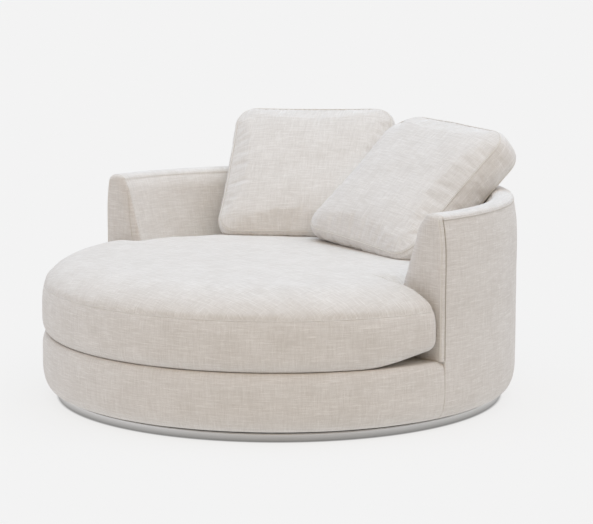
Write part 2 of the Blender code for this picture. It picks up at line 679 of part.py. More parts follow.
def make_shell(parent):
    outer_crown, inner_crown = strip_curve()
    inner_side = inner_face(PAD_BOTTOM, PAD_TOP)

    outer_side = [(PAD_OUTER_RADIUS, PAD_TOP), (PAD_OUTER_RADIUS, PAD_BOTTOM)]
    pad = turned_part("shell_inner_pad", outer_side + inner_side, "upholstery", parent)
    boolean(pad, "DIFFERENCE", front_half_cutter("pad_front_cutter", SHELL_FRONT_DEPTH))

    strip = turned_part("shell_top_cover", outer_crown + inner_crown, "upholstery", parent)
    boolean(strip, "DIFFERENCE", front_half_cutter("strip_front_cutter", SHELL_FRONT_DEPTH))

    cover_profile = shoulder(PAD_TOP) + bottom_roll() + lining() + [(COVER_INNER_RADIUS, PAD_TOP)]
    cover = turned_part("shell_outer_cover", cover_profile, "upholstery", parent)
    boolean(cover, "DIFFERENCE", front_half_cutter("cover_front_cutter", SHELL_FRONT_DEPTH))

    arm_profile = outer_crown + shoulder(STRIP_LEVEL)[1:] + [(OVERALL_RADIUS, PAD_BOTTOM)]
    arm_profile += inner_face(PAD_BOTTOM, STRIP_LEVEL)[:-1] + inner_crown
    for side, word in ((-1, "left"), (1, "right")):
        name = f"arm_front_cover_{word}"
        arm = turned_part(name, arm_profile, "upholstery", parent)
        near, far = sorted((0, side * (OVERALL_RADIUS + CUT_OVERRUN)))
        top = STRIP_LEVEL + STRIP_CROWN + CUT_OVERRUN
        keep = box_mesh(f"{name}_slab", (near, -ARM_FRONT_DEPTH, 0), (far, -COVER_SPLIT_DEPTH, top))
        boolean(arm, "INTERSECT", add_cutter(f"{name}_slab", keep))
    return pad


def make_drum_cover(parent):
    height = SEAT_LEVEL - DRUM_BOTTOM
    bulged = [(OVERALL_RADIUS + DRUM_BULGE * out, DRUM_BOTTOM + height * up) for out, up in BULGE_SHARES]
    roll = []
    steps = 3
    for i in range(steps):
        angle = math.pi / 2 * i / steps
        inset = DRUM_TOP_ROLL_WIDTH * (1 - math.sin(angle))
        drop = DRUM_TOP_ROLL_HEIGHT * (1 - math.cos(angle))
        roll.append((OVERALL_RADIUS - inset, SEAT_LEVEL - drop))
    profile = roll + bulged[:3] + bottom_roll()[2:] + lining()
    over_ring = DECK_RING_TOP + SEATED_GAP
    profile += [(COVER_INNER_RADIUS, over_ring), (DECK_PAD_RADIUS + SEATED_GAP, over_ring),
                (DECK_PAD_RADIUS + SEATED_GAP, SEAT_LEVEL)]
    drum = turned_part("drum_front_cover", profile, "upholstery", parent)
    boolean(drum, "DIFFERENCE", rear_half_cutter("drum_rear_cutter", COVER_SPLIT_DEPTH))


# Seat cushion

def smooth_cage(wanted):
    """Cage points whose smooth closed curve goes through the wanted points (x, y, rise), very nearly."""
    points = [Vector(point) for point in wanted]
    following = points[1:] + points[:1]
    smoothed = [(points[i - 1] + 4 * points[i] + following[i]) / 6 for i in range(len(points))]
    return [tuple(2 * point - reached) for point, reached in zip(points, smoothed)]


def cushion_outline():
    """Right half of the T-shaped outline, front to rear: (x, y, share of the rise to the rear seam)."""
    front = [on_circle(OVERALL_RADIUS, degrees) for degrees in CUSHION_FRONT_ANGLES]
    rear = [on_circle(CUSHION_REAR_RADIUS, degrees) for degrees in CUSHION_REAR_ANGLES]
    points = [(place.x, place.y, 0) for place in front]
    low, middle, high = CUSHION_EAR_RISE_SHARES
    corner = CUSHION_EAR_DEPTH + CUSHION_EAR_ROUND
    points.append((math.sqrt(OVERALL_RADIUS ** 2 - corner ** 2) - LOOSE_GAP, -corner, low))
    points.append((OVERALL_RADIUS - CUSHION_EAR_ROUND, -CUSHION_EAR_DEPTH - LOOSE_GAP * 2, middle))
    points.append(((OVERALL_RADIUS + CUSHION_REAR_RADIUS) / 2, -CUSHION_EAR_DEPTH, high))
    notch = CUSHION_EAR_DEPTH + LOOSE_GAP
    points.append((math.sqrt(CUSHION_REAR_RADIUS ** 2 - notch ** 2) - LOOSE_GAP * 3, -notch, 1))
    flank = CUSHION_EAR_DEPTH - CUSHION_EAR_ROUND * 2
    points.append((math.sqrt(CUSHION_REAR_RADIUS ** 2 - flank ** 2), -flank, 1))
    return points + [(place.x, place.y, 1) for place in rear]


def whole_outline():
    right = cushion_outline()
    left = [(-x, y, rise) for x, y, rise in reversed(right[1:-1])]
    return smooth_cage(right + left)


def offset_outline(outline, distance):
    """The outline moved outwards in plan by a distance."""
    moved = []
    count = len(outline)
    for i, (x, y, rise) in enumerate(outline):
        before = outline[i - 1]
        after = outline[(i + 1) % count]
        along = Vector((after[0] - before[0], after[1] - before[1], 0)).normalized()
        moved.append((x + along.y * distance, y - along.x * distance, rise))
    return moved


def seam_level(rise):
    return CUSHION_FRONT_SEAM + (CUSHION_REAR_SEAM - CUSHION_FRONT_SEAM) * rise


def cushion_cage(name):
    """A coarse closed cage: tucked lower edge, full side, seam, then a crown to one summit."""
    outline = whole_outline()
    centre = Vector((0, -CUSHION_CROWN_CENTRE_DEPTH, 0))
    rings = [
        [(x, y, CUSHION_BOTTOM) for x, y, rise in offset_outline(outline, -CUSHION_LOWER_TUCK)],
        [(x, y, CUSHION_BULGE_LEVEL) for x, y, rise in offset_outline(outline, CUSHION_SIDE_BULGE)],
        [(x, y, seam_level(rise)) for x, y, rise in offset_outline(outline, -CUSHION_SEAM_TUCK)],
    ]
    for share in CROWN_RING_SHARES:
        fullness = (1 - share ** 4) ** CROWN_FULLNESS_SHARE
        ring = []
        for x, y, rise in outline:
            seam = seam_level(rise)
            place = centre + (Vector((x, y, 0)) - centre) * share
            ring.append((place.x, place.y, seam + (CUSHION_CROWN_LEVEL - seam) * fullness))
        rings.append(ring)
    bm = bmesh.new()
    rows = [[bm.verts.new(point) for point in ring] for ring in rings]
    count = len(outline)
    for lower, upper in zip(rows, rows[1:]):
        for i in range(count):
            j = (i + 1) % count
            bm.faces.new((lower[i], lower[j], upper[j], upper[i]))
    summit = bm.verts.new((0, -CUSHION_CROWN_CENTRE_DEPTH, CUSHION_CROWN_LEVEL))
    underside = bm.verts.new((0, -CUSHION_UNDERSIDE_CENTRE_DEPTH, CUSHION_BOTTOM))
    for i in range(count):
        j = (i + 1) % count
        bm.faces.new((rows[-1][i], rows[-1][j], summit))
        bm.faces.new((rows[0][j], rows[0][i], underside))
    bmesh.ops.recalc_face_normals(bm, faces=bm.faces)
    crease = bm.edges.layers.float.new("crease_edge")
    for row in (rows[0], rows[2]):
        for i in range(count):
            bm.edges.get((row[i - 1], row[i]))[crease] = SEAM_CREASE_SHARE
    return mesh_from(bm, name)


def soften(obj, levels):
    subdivision = obj.modifiers.new("soften", "SUBSURF")
    subdivision.levels = levels
    subdivision.render_levels = levels
    return subdivision


def hollow(obj, thickness):
    wall = obj.modifiers.new("wall", "SOLIDIFY")
    wall.thickness = thickness
    wall.offset = -1


def shrink(obj, distance):
    inset = obj.modifiers.new("inset", "DISPLACE")
    inset.strength = -distance
    inset.mid_level = 0


def sector_cutter(name, half_angle):
    """Keeps what lies within half_angle of the rear: a wedge with its point on the axis."""
    reach = OVERALL_RADIUS + CUT_OVERRUN
    corners = [Vector((0, 0, 0)), on_circle(reach, half_angle), on_circle(reach, 0),
               on_circle(reach, -half_angle)]
    bm = bmesh.new()
    face = bm.faces.new([bm.verts.new(corner) for corner in corners])
    grown = bmesh.ops.extrude_face_region(bm, geom=[face])
    moved = [item for item in grown["geom"] if isinstance(item, bmesh.types.BMVert)]
    bmesh.ops.translate(bm, vec=(0, 0, STRIP_LEVEL), verts=moved)
    bmesh.ops.recalc_face_normals(bm, faces=bm.faces)
    return add_cutter(name, mesh_from(bm, name))


def make_seat_cushion(parent):
    cover = add_part("seat_cushion_cover", cushion_cage("seat_cushion_cover"), "cushion_fabric", parent)
    soften(cover, 1)
    hollow(cover, CUSHION_COVER_THICKNESS)

    outer = CUSHION_REAR_RADIUS
    inner = outer - SEAT_ZIP_THICKNESS
    low = SEAT_ZIP_LEVEL - SEAT_ZIP_WIDTH / 2
    high = SEAT_ZIP_LEVEL + SEAT_ZIP_WIDTH / 2
    deep = inner - CUSHION_COVER_THICKNESS - CUSHION_CORE_GAP / 2
    opening = turned_cutter("seat_zip_opening", [
        (outer + CUT_OVERRUN, high + SEATED_GAP), (outer + CUT_OVERRUN, low - SEATED_GAP),
        (deep, low - SEATED_GAP), (deep, high + SEATED_GAP)])
    boolean(opening, "INTERSECT", sector_cutter("seat_zip_opening_wedge", SEAT_ZIP_HALF_ANGLE))
    boolean(cover, "DIFFERENCE", opening)

    zip_strip = turned_part("seat_cushion_zip", [(outer, high), (outer, low), (inner, low), (inner, high)],
                            "zip_tape", parent)
    end_angle = math.degrees(SEATED_GAP / outer)
    boolean(zip_strip, "INTERSECT", sector_cutter("seat_zip_wedge", SEAT_ZIP_HALF_ANGLE - end_angle))

    core = add_part("seat_cushion_core", cushion_cage("seat_cushion_core"), "foam", parent)
    soften(core, 1)
    shrink(core, CUSHION_COVER_THICKNESS + CUSHION_CORE_GAP)


# Back pillows

def pillow_cage(name, cuts, fullness):
    """A boxed pillow: crowned faces, sides that pull in between full corners, a fuller upper back."""
    half_width = PILLOW_WIDTH / 2
    half_height = PILLOW_HEIGHT / 2
    bm = bmesh.new()
    bmesh.ops.create_cube(bm, size=2)
    across = [e for e in bm.edges if abs(e.verts[0].co.y - e.verts[1].co.y) < SEATED_GAP]
    bmesh.ops.subdivide_edges(bm, edges=across, cuts=cuts, use_grid_fill=True)
    for vert in bm.verts:
        a, side, b = vert.co
        power = PILLOW_CROWN_POWER_SHARE
        crown = PILLOW_CROWN * (1 - abs(a) ** power) * (1 - abs(b) ** power)
        corner = 1 - PILLOW_CORNER_SHARE * abs(a * b) ** 4
        pulled_x = 1 - PILLOW_PINCH_SHARE * (1 - b * b)
        pulled_z = 1 - PILLOW_PINCH_SHARE * (1 - a * a)
        ramp = min(1.0, (1 + b) / 2 / PILLOW_BACK_RAMP_SHARE)
        deeper = fullness * ramp if side > 0 else 0.0
        vert.co = (half_width * a * corner * pulled_x, side * (PILLOW_EDGE / 2 + crown) + deeper,
                   half_height * b * corner * pulled_z)
    bm.normal_update()
    crease = bm.edges.layers.float.new("crease_edge")
    for edge in bm.edges:
        boxing = [abs(face.normal.y) < 0.5 for face in edge.link_faces]
        if boxing[0] != boxing[1]:
            edge[crease] = SEAM_CREASE_SHARE
    return mesh_from(bm, name)


def make_pillow(name, frame):
    bottom = -PILLOW_HEIGHT / 2
    sunk = bottom + PILLOW_HEIGHT / 2 * PILLOW_PINCH_SHARE
    fullness = PILLOW_BACK_FULLNESS[name]
    cover_mesh = pillow_cage(f"{name}_cover", PILLOW_CUTS, fullness)
    cover = add_part(f"{name}_cover", cover_mesh, "pillow_fabric", frame)
    soften(cover, 1)
    hollow(cover, PILLOW_COVER_THICKNESS)
    half_length = PILLOW_ZIP_LENGTH / 2
    half_width = PILLOW_ZIP_WIDTH / 2
    gap = SEATED_GAP
    opening = add_cutter(f"{name}_zip_opening", box_mesh(
        f"{name}_zip_opening",
        (-half_length - gap, -half_width - gap, bottom - CUT_OVERRUN),
        (half_length + gap, half_width + gap, sunk + PILLOW_COVER_THICKNESS + PILLOW_FILLING_GAP)))
    opening.parent = frame
    boolean(cover, "DIFFERENCE", opening)
    zip_mesh = box_mesh(f"{name}_zip", (-half_length, -half_width, sunk),
                        (half_length, half_width, sunk + PILLOW_ZIP_THICKNESS))
    add_part(f"{name}_zip", zip_mesh, "zip_tape", frame)
    filling_mesh = pillow_cage(f"{name}_filling", PILLOW_CUTS, fullness)
    filling = add_part(f"{name}_filling", filling_mesh, "foam", frame)
    soften(filling, 1)
    shrink(filling, PILLOW_COVER_THICKNESS + PILLOW_FILLING_GAP)


def pillow_frame(name, parent):
    """Its middle plane: square to a chord of the strip as long as the pillow is wide, then leaning back."""
    turn_angle, lean, roll = PILLOW_TURNS[name]
    frame = add_axis(f"{name}_frame", parent)
    turn_matrix = Matrix.Rotation(math.radians(turn_angle), 4, "Z")
    chord = math.sqrt(INNER_RADIUS_TOP ** 2 - (PILLOW_WIDTH / 2) ** 2)
    centre = turn_matrix @ Vector((PILLOW_WIDTH * PILLOW_SIDE_SHARES[name], chord - PILLOW_SETBACKS[name], 0))
    centre.z = STRIP_LEVEL + PILLOW_RISES[name]
    lean_matrix = Matrix.Rotation(-math.radians(lean), 4, "X")
    roll_matrix = Matrix.Rotation(math.radians(roll), 4, "Y")
    frame.matrix_world = Matrix.Translation(centre) @ turn_matrix @ lean_matrix @ roll_matrix
    return frame


def main():
    plinth = add_axis("plinth_origin")
    cage_axis = add_axis("ball_cage_axis", plinth)
    chair = add_axis("swivel_axis", plinth)
    seat = add_axis("seat_cushion_lift", chair)

    plinth_board = make_plinth(plinth)
    lower_plate = bearing_plate("bearing_lower_plate", LOWER_PLATE_TOP, 1, plinth)
    make_ball_cage(cage_axis)
    upper_plate = bearing_plate("bearing_upper_plate", UPPER_PLATE_BOTTOM, -1, chair)
    base_board = make_base_board(chair)
    make_fasteners(plinth, chair, plinth_board, lower_plate, upper_plate, base_board)
    make_drum_frame(chair)
    make_deck(chair)
    make_back_frame(chair)
    inner_pad = make_shell(chair)
    make_end_panels(chair, inner_pad)
    make_drum_cover(chair)
    make_seat_cushion(seat)
    for name in PILLOW_TURNS:
        make_pillow(name, pillow_frame(name, seat))


clear_scene()
PARTS = new_collection("swivel_armchair")
CUTTERS = new_collection("cutters")
MATERIALS = make_materials()
main()
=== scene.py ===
"""Looks of the round swivel armchair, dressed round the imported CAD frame.

The chair turns about Z, faces -Y and stands on Z = 0. Lengths are in metres, angles in degrees.
"""

import math

import bmesh
import bpy
import numpy as np
from mathutils import Matrix, Vector, noise
from mathutils.bvhtree import BVHTree
from mathutils.kdtree import KDTree


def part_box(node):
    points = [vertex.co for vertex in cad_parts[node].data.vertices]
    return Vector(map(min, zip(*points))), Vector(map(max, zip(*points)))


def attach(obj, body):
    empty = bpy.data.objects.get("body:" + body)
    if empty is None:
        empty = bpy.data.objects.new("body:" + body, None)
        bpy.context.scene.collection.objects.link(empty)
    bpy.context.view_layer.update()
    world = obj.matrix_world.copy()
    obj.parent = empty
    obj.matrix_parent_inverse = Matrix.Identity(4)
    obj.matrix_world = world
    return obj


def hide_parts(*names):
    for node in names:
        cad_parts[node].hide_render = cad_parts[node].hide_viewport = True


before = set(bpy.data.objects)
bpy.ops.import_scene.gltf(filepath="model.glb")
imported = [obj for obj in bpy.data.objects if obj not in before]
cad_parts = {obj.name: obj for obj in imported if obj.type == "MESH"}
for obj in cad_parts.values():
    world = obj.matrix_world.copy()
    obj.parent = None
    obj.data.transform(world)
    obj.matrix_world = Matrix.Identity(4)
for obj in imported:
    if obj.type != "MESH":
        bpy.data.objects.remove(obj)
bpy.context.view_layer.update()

# Sizes read from the frame
OVERALL_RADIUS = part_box("shell_outer_cover")[1].x
SEAT_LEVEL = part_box("deck_pad")[1].z
STRIP_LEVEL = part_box("shell_top_cover")[0].z
STRIP_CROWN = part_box("shell_top_cover")[1].z - STRIP_LEVEL
ARM_FRONT_DEPTH = -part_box("arm_front_cover_left")[0].y
ARM_BACK_DEPTH = -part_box("arm_front_cover_left")[1].y
SHELL_FRONT_DEPTH = -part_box("shell_outer_cover")[0].y
DRUM_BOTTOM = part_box("drum_front_cover")[0].z
PAD_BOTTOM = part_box("shell_inner_pad")[0].z
PAD_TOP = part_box("shell_inner_pad")[1].z
BASE_BOARD_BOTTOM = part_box("base_board")[0].z
DECK_RING_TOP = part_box("deck_ring")[1].z
DECK_PAD_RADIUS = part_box("deck_pad")[1].x
CUSHION_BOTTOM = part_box("seat_cushion_cover")[0].z
CUSHION_CROWN_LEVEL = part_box("seat_cushion_cover")[1].z + 0.0030    # a little fuller than its solid
TRIM_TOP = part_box("plinth_trim_ring")[1].z + 0.0025                 # the rolled edge rises above the flange
TRIM_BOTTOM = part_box("plinth_trim_ring")[0].z
TRIM_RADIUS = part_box("plinth_trim_ring")[1].x

# Sizes shared with the CAD source
INNER_RADIUS_LOW = 0.6040
INNER_RADIUS_TOP = 0.6795
SHOULDER_INSET = 0.0130
COVER_INNER_RADIUS = 0.7485
SEATED_GAP = 0.0003
DRUM_LIP_INNER_RADIUS = 0.7050
DRUM_LIP_STEP = 0.0520
DRUM_LIP_SLOPE = 0.0080
LINING_BOARD_RADIUS = 0.7383
DRUM_ROLL_HEIGHT = 0.0850
DRUM_ROLL_WIDTH = 0.0370
DRUM_ROLL_CLEARANCE = 0.0050  # how far the roll stays above the lip, over the steel ring
DRUM_TOP_ROLL_HEIGHT = 0.0450
DRUM_TOP_ROLL_WIDTH = 0.0170
DRUM_BULGE = 0.0010
INNER_FACE_SHARES = ((0, 0), (0, 0.36), (0.05, 0.475), (0.30, 0.615), (0.57, 0.754), (0.82, 0.893), (1, 1))
SHOULDER_SHARES = ((1, 1), (0.4, 0.9), (0, 0.75), (0, 0.4), (0, 0))
CROWN_FULLNESS_SHARE = 0.6
CROWN_INNER_FULLNESS_SHARE = 1.2
INNER_LIP_LEAN = 0.0130       # how far the top of the inner face leans back below the rim
INNER_LIP_REACH = 0.0450
ROLL_FULLNESS_SHARE = 0.82
CUSHION_FRONT_SEAM = 0.3720
CUSHION_REAR_SEAM = 0.4050
CUSHION_CENTRE_DEPTH = 0.2500
CUSHION_REAR_RADIUS = 0.6015
CUSHION_EAR_DEPTH = 0.0841
CUSHION_EAR_ROUND = 0.0300
PILLOW_WIDTH = 0.5650
PILLOW_SPREAD = 0.5640       # width and height of the sewn cover when it is filled
PILLOW_RISE = 0.5540
PILLOW_EDGE = 0.0550
PILLOW_SETBACKS = {"pillow_left": 0.0443, "pillow_right": 0.1770}
PILLOW_RISES = {"pillow_left": 0.0055, "pillow_right": 0.0106}
PILLOW_TURNS = {"pillow_left": (32.7, 44.5, -1.0), "pillow_right": (-7.3, 47.0, 5.6)}
PILLOW_SIDE_SHARES = {"pillow_left": -0.0357, "pillow_right": 0.2426}
PILLOW_BACK_FULLNESS = {"pillow_left": 0.0, "pillow_right": 0.0470}
PILLOW_BACK_RAMP_SHARE = 0.6

# Upholstery details
SKIN_STEP = 0.0100           # spacing of the points along a skin
HIDDEN_STEP = 4 * SKIN_STEP  # and where nobody looks
EDGE_ROUND = 0.0040          # rounding of a padded edge beside a seam
RIM_END_ROUND = 0.0012       # and of the inner skin where the arm's front covers its end
STRIP_UNDERLAP = 0.0100      # from the strip's outer seam in to where its hidden side begins
HIDDEN_CORNER = 55           # edges steeper than this stay sharp
PAD_THICKNESS = 0.0200       # of the inner skin
SWELL_HEIGHT = 0.0008        # broad unevenness of the padding
DIMPLE_HEIGHT = 0.0004
SOFT_LIMIT = 0.0012          # the most that unevenness stands out
GATHER_HEIGHT = 0.0007       # gathers beside a seam, and how far they reach
GATHER_REACH = 0.0180
PUCKER_HEIGHT = 0.0006       # the same beside the end of a cover
PUCKER_REACH = 0.0200
EVEN_END = 0.0030            # a cover's last strip, which is even
WELT_RADIUS = 0.0017
FINE_STITCH_RADIUS = 0.0008
ARM_STITCH_RADIUS = 0.0012
WELT_OFFSET = (0.0002, 0.0008)         # out and up from the strip's outer seam
STITCH_OFFSET = (0.0012, -0.0012)
ARM_WELT_INSET = 0.0062
ARM_WELT_SUNK = 0.0004
ARM_STITCH_SHIFT = 0.0012              # of the stitches, back from the middle of the edge
ARM_SEAM_ENDS = (0.0040, 0.0010)       # above the seat level and above the strip's level
THREAD_LIFT = 0.0002         # how far a thread's middle stands off its cloth
INNER_SEAM_ENDS = ((-0.6680, -0.3, 0.6060), (-0.6360, -0.3, 0.4400))
SEAM_RADIUS = 0.0019
SEAM_PROUD = 0.0006
SEAT_SEAM_RADIUS = 0.0013


# Small helpers

def ease(values):
    """Smooth step from 0 to 1."""
    values = np.clip(values, 0, 1)
    return values * values * (3 - 2 * values)


def rough(points, scale, seed=0.0):
    """Smooth noise between about -1 and 1 at each point; scale is in bumps per metre."""
    flat = np.asarray(points, float).reshape(-1, 3) * scale + seed
    found = [noise.noise(Vector(point)) for point in flat]
    return np.array(found).reshape(np.asarray(points).shape[:-1])


def joined(*parts):
    """Coordinates joined into points, each part spread over the shape of them all."""
    return np.stack(np.broadcast_arrays(*parts), -1)


def unit(vectors):
    """Vectors scaled to a length of 1."""
    return vectors / np.maximum(np.linalg.norm(vectors, axis=-1, keepdims=True), 1e-12)


def run_along(path):
    """How far each point of a path lies along it."""
    return np.concatenate([[0], np.cumsum(np.linalg.norm(np.diff(path, axis=0), axis=1))])


def loop_outward(loop):
    """Directions out of a closed outline in its own plane."""
    along = np.roll(loop, -1, 0) - np.roll(loop, 1, 0)
    outward = unit(joined(-along[:, 1], along[:, 0]))
    return outward * np.sign(np.sum(outward[0] * loop[0]))


def turned_round(profile, steps):
    """A profile of (radius, height) turned once round the axis."""
    turns = np.linspace(0, 2 * math.pi, steps, endpoint=False)
    return joined(profile[:, :1] * np.cos(turns), profile[:, :1] * np.sin(turns), profile[:, 1:])


def smooth_curve(points, steps=8):
    """A dense Catmull-Rom curve through the points of an open outline."""
    knots = np.array(points, float)
    ends = [2 * knots[0] - knots[1], 2 * knots[-1] - knots[-2]]
    knots = np.vstack([ends[0], knots, ends[1]])
    found = []
    for i in range(1, len(knots) - 2):
        a, b, c, d = knots[i - 1:i + 3]
        for k in range(steps):
            t = k / steps
            found.append(0.5 * (2 * b + (c - a) * t + (2 * a - 5 * b + 4 * c - d) * t ** 2
                                + (3 * b - a - 3 * c + d) * t ** 3))
    found.append(knots[-2])
    return np.array(found)


def resample(points, step):
    """Splits the long segments of an outline into pieces no longer than step."""
    points = np.asarray(points, float)
    found = []
    for start, end in zip(points, points[1:]):
        count = max(1, math.ceil(np.linalg.norm(end - start) / step))
        found += [start + (end - start) * k / count for k in range(count)]
    return np.array(found + [points[-1]])


def graded(length, step, close=(0, 0.0004, 0.0011, 0.0020, 0.0032, 0.0050, 0.0075)):
    """Distances from 0 to length: close together near both ends, then even."""
    inner = np.linspace(close[-1], length - close[-1], max(2, round(length / step)))
    return np.concatenate([close[:-1], inner, length - np.array(close[-2::-1])])


def rounding(distance, radius):
    """Depth of a rounded edge at a distance from it."""
    near = np.clip(1 - np.asarray(distance, float) / radius, 0, 1)
    return radius * (1 - np.sqrt(1 - near ** 2))


class Skin:
    """Collects grids of points into one mesh; each corner also gets its place on the cloth."""

    def __init__(self):
        self.points = []
        self.faces = []
        self.weave = []
        self.count = 0

    def grid(self, points, weave, wrap=False):
        points = np.asarray(points, float)
        weave = np.asarray(weave, float)
        rows, columns = points.shape[:2]
        index = np.arange(rows * columns).reshape(rows, columns) + self.count
        if wrap:
            index = np.hstack([index, index[:, :1]])
        corners = np.stack([index[:-1, :-1], index[:-1, 1:], index[1:, 1:], index[1:, :-1]], -1)
        cloth = np.stack([weave[:-1, :-1], weave[:-1, 1:], weave[1:, 1:], weave[1:, :-1]], 2)
        self.points.append(points.reshape(-1, 3))
        self.faces += corners.reshape(-1, 4).tolist()
        self.weave.append(cloth.reshape(-1, 2))
        self.count += rows * columns
        return index

    def cap(self, ring, weave):
        self.faces.append(list(ring))
        self.weave.append(np.asarray(weave, float).reshape(-1, 2))

    def build(self, name, merge=1e-6):
        mesh = bpy.data.meshes.new(name)
        mesh.from_pydata(np.vstack(self.points).tolist(), [], self.faces)
        layer = mesh.uv_layers.new(name="weave")
        layer.data.foreach_set("uv", np.vstack(self.weave).astype(np.float32).ravel())
        bm = bmesh.new()
        bm.from_mesh(mesh)
        bmesh.ops.remove_doubles(bm, verts=bm.verts, dist=merge)
        bmesh.ops.dissolve_degenerate(bm, dist=merge, edges=bm.edges)
        bmesh.ops.recalc_face_normals(bm, faces=bm.faces)
        bm.to_mesh(mesh)
        bm.free()
        for polygon in mesh.polygons:
            polygon.use_smooth = True
        obj = bpy.data.objects.new(name, mesh)
        bpy.context.scene.collection.objects.link(obj)
        return obj


def coordinates(obj):
    found = np.empty(len(obj.data.vertices) * 3)
    obj.data.vertices.foreach_get("co", found)
    return found.reshape(-1, 3)


def set_coordinates(obj, points):
    obj.data.vertices.foreach_set("co", np.asarray(points, float).ravel())
    obj.data.update()


def nearest_vertices(obj, places):
    tree = KDTree(len(obj.data.vertices))
    for vertex in obj.data.vertices:
        tree.insert(vertex.co, vertex.index)
    tree.balance()
    return [tree.find(Vector(place))[1] for place in places]


def inflate(obj, held, shrink, pressure, limit, frames=20):
    """Blows a closed cover up as cloth with its seams held, and keeps every move within limit.

    A negative shrink makes the cloth larger than its form, which gathers it along the seams.
    """
    group = obj.vertex_groups.new(name="held")
    group.add(held, 1.0, "REPLACE")
    cloth = obj.modifiers.new("filling_pressure", "CLOTH")
    settings = cloth.settings
    settings.quality = 5
    settings.mass = 0.3
    settings.tension_stiffness = 15
    settings.compression_stiffness = 15
    settings.shear_stiffness = 5
    settings.bending_stiffness = 0.4
    settings.vertex_group_mass = "held"
    settings.use_pressure = True
    settings.uniform_pressure_force = pressure
    settings.shrink_min = shrink
    settings.effector_weights.gravity = 0
    cloth.point_cache.frame_end = frames
    scene = bpy.context.scene
    for frame_number in range(1, frames + 1):
        scene.frame_set(frame_number)
    shaped = obj.evaluated_get(bpy.context.evaluated_depsgraph_get())
    found = coordinates(shaped)
    before = coordinates(obj)
    move = found - before
    length = np.linalg.norm(move, axis=1)[:, None]
    move *= np.minimum(1, limit / np.maximum(length, 1e-9))
    obj.modifiers.remove(cloth)
    obj.vertex_groups.remove(group)
    scene.frame_set(1)
    set_coordinates(obj, before + move)


def pressed_off(places, section, gaps):
    """Moves points out of a turned solid; its section runs as (radius, height), the solid on its right."""
    radius = np.hypot(places[:, 0], places[:, 1])
    spots = joined(radius, places[:, 2])
    start, reach = section[:-1], np.diff(section, axis=0)
    length = np.maximum(np.linalg.norm(reach, axis=1), 1e-9)
    share = np.sum((spots[:, None] - start) * reach, -1) / length ** 2
    nearest = start + np.clip(share, 0, 1)[..., None] * reach
    closest = np.argmin(np.linalg.norm(spots[:, None] - nearest, axis=-1), 1)
    nearest = nearest[np.arange(len(spots)), closest]
    normal = (joined(-reach[:, 1], reach[:, 0]) / length[:, None])[closest]
    sunk = np.sum((spots - nearest) * normal, 1) < gaps
    spots[sunk] = (nearest + normal * gaps[:, None])[sunk]
    across = places[:, :2] / np.maximum(radius, 1e-9)[:, None] * spots[:, :1]
    return np.concatenate([across, spots[:, 1:]], 1)


RAY_START = 2.0              # how far off a ray starts that looks for the skin below a point


def skin_tree(obj):
    mesh = obj.data
    return BVHTree.FromPolygons([v.co for v in mesh.vertices], [tuple(p.vertices) for p in mesh.polygons])


def laid_on(places, support, gaps, up=(0, 0, 1)):
    """Moves points up onto a skin, whose side facing up is the one that carries them."""
    up = Vector(up)
    tree = skin_tree(support)
    lifted = places.copy()
    for spot, gap in zip(lifted, gaps):
        below = tree.ray_cast(Vector(spot) + up * RAY_START, -up)[0]
        if below is not None and (Vector(spot) - below).dot(up) < gap:
            spot[:] = below + up * gap
    return lifted


def on_skin(skin, origins, directions):
    """Where rays from outside meet a soft skin, with the skin's normals there."""
    tree = skin_tree(skin)
    places, normals = [], []
    for origin, direction in zip(origins, directions):
        place, normal, _, _ = tree.ray_cast(Vector(origin), Vector(direction))
        if place is not None:
            places.append(place)
            normals.append(normal)
    return np.array(places), np.array(normals)


def pressed_on(obj, path):
    """The path moved to the nearest points of a skin."""
    tree = skin_tree(obj)
    found = [tree.find_nearest(Vector(point))[:2] for point in path]
    return np.array([place + normal * THREAD_LIFT for place, normal in found])


def sharpen(obj, degrees=40):
    """Keeps edges crisp where faces meet at a steep angle."""
    obj.data.set_sharp_from_angle(angle=math.radians(degrees))


def finish_piece(obj, material, body, replaced=()):
    obj.data.materials.clear()
    obj.data.materials.append(material)
    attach(obj, body)
    if replaced:
        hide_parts(*replaced)
    return obj


# Materials

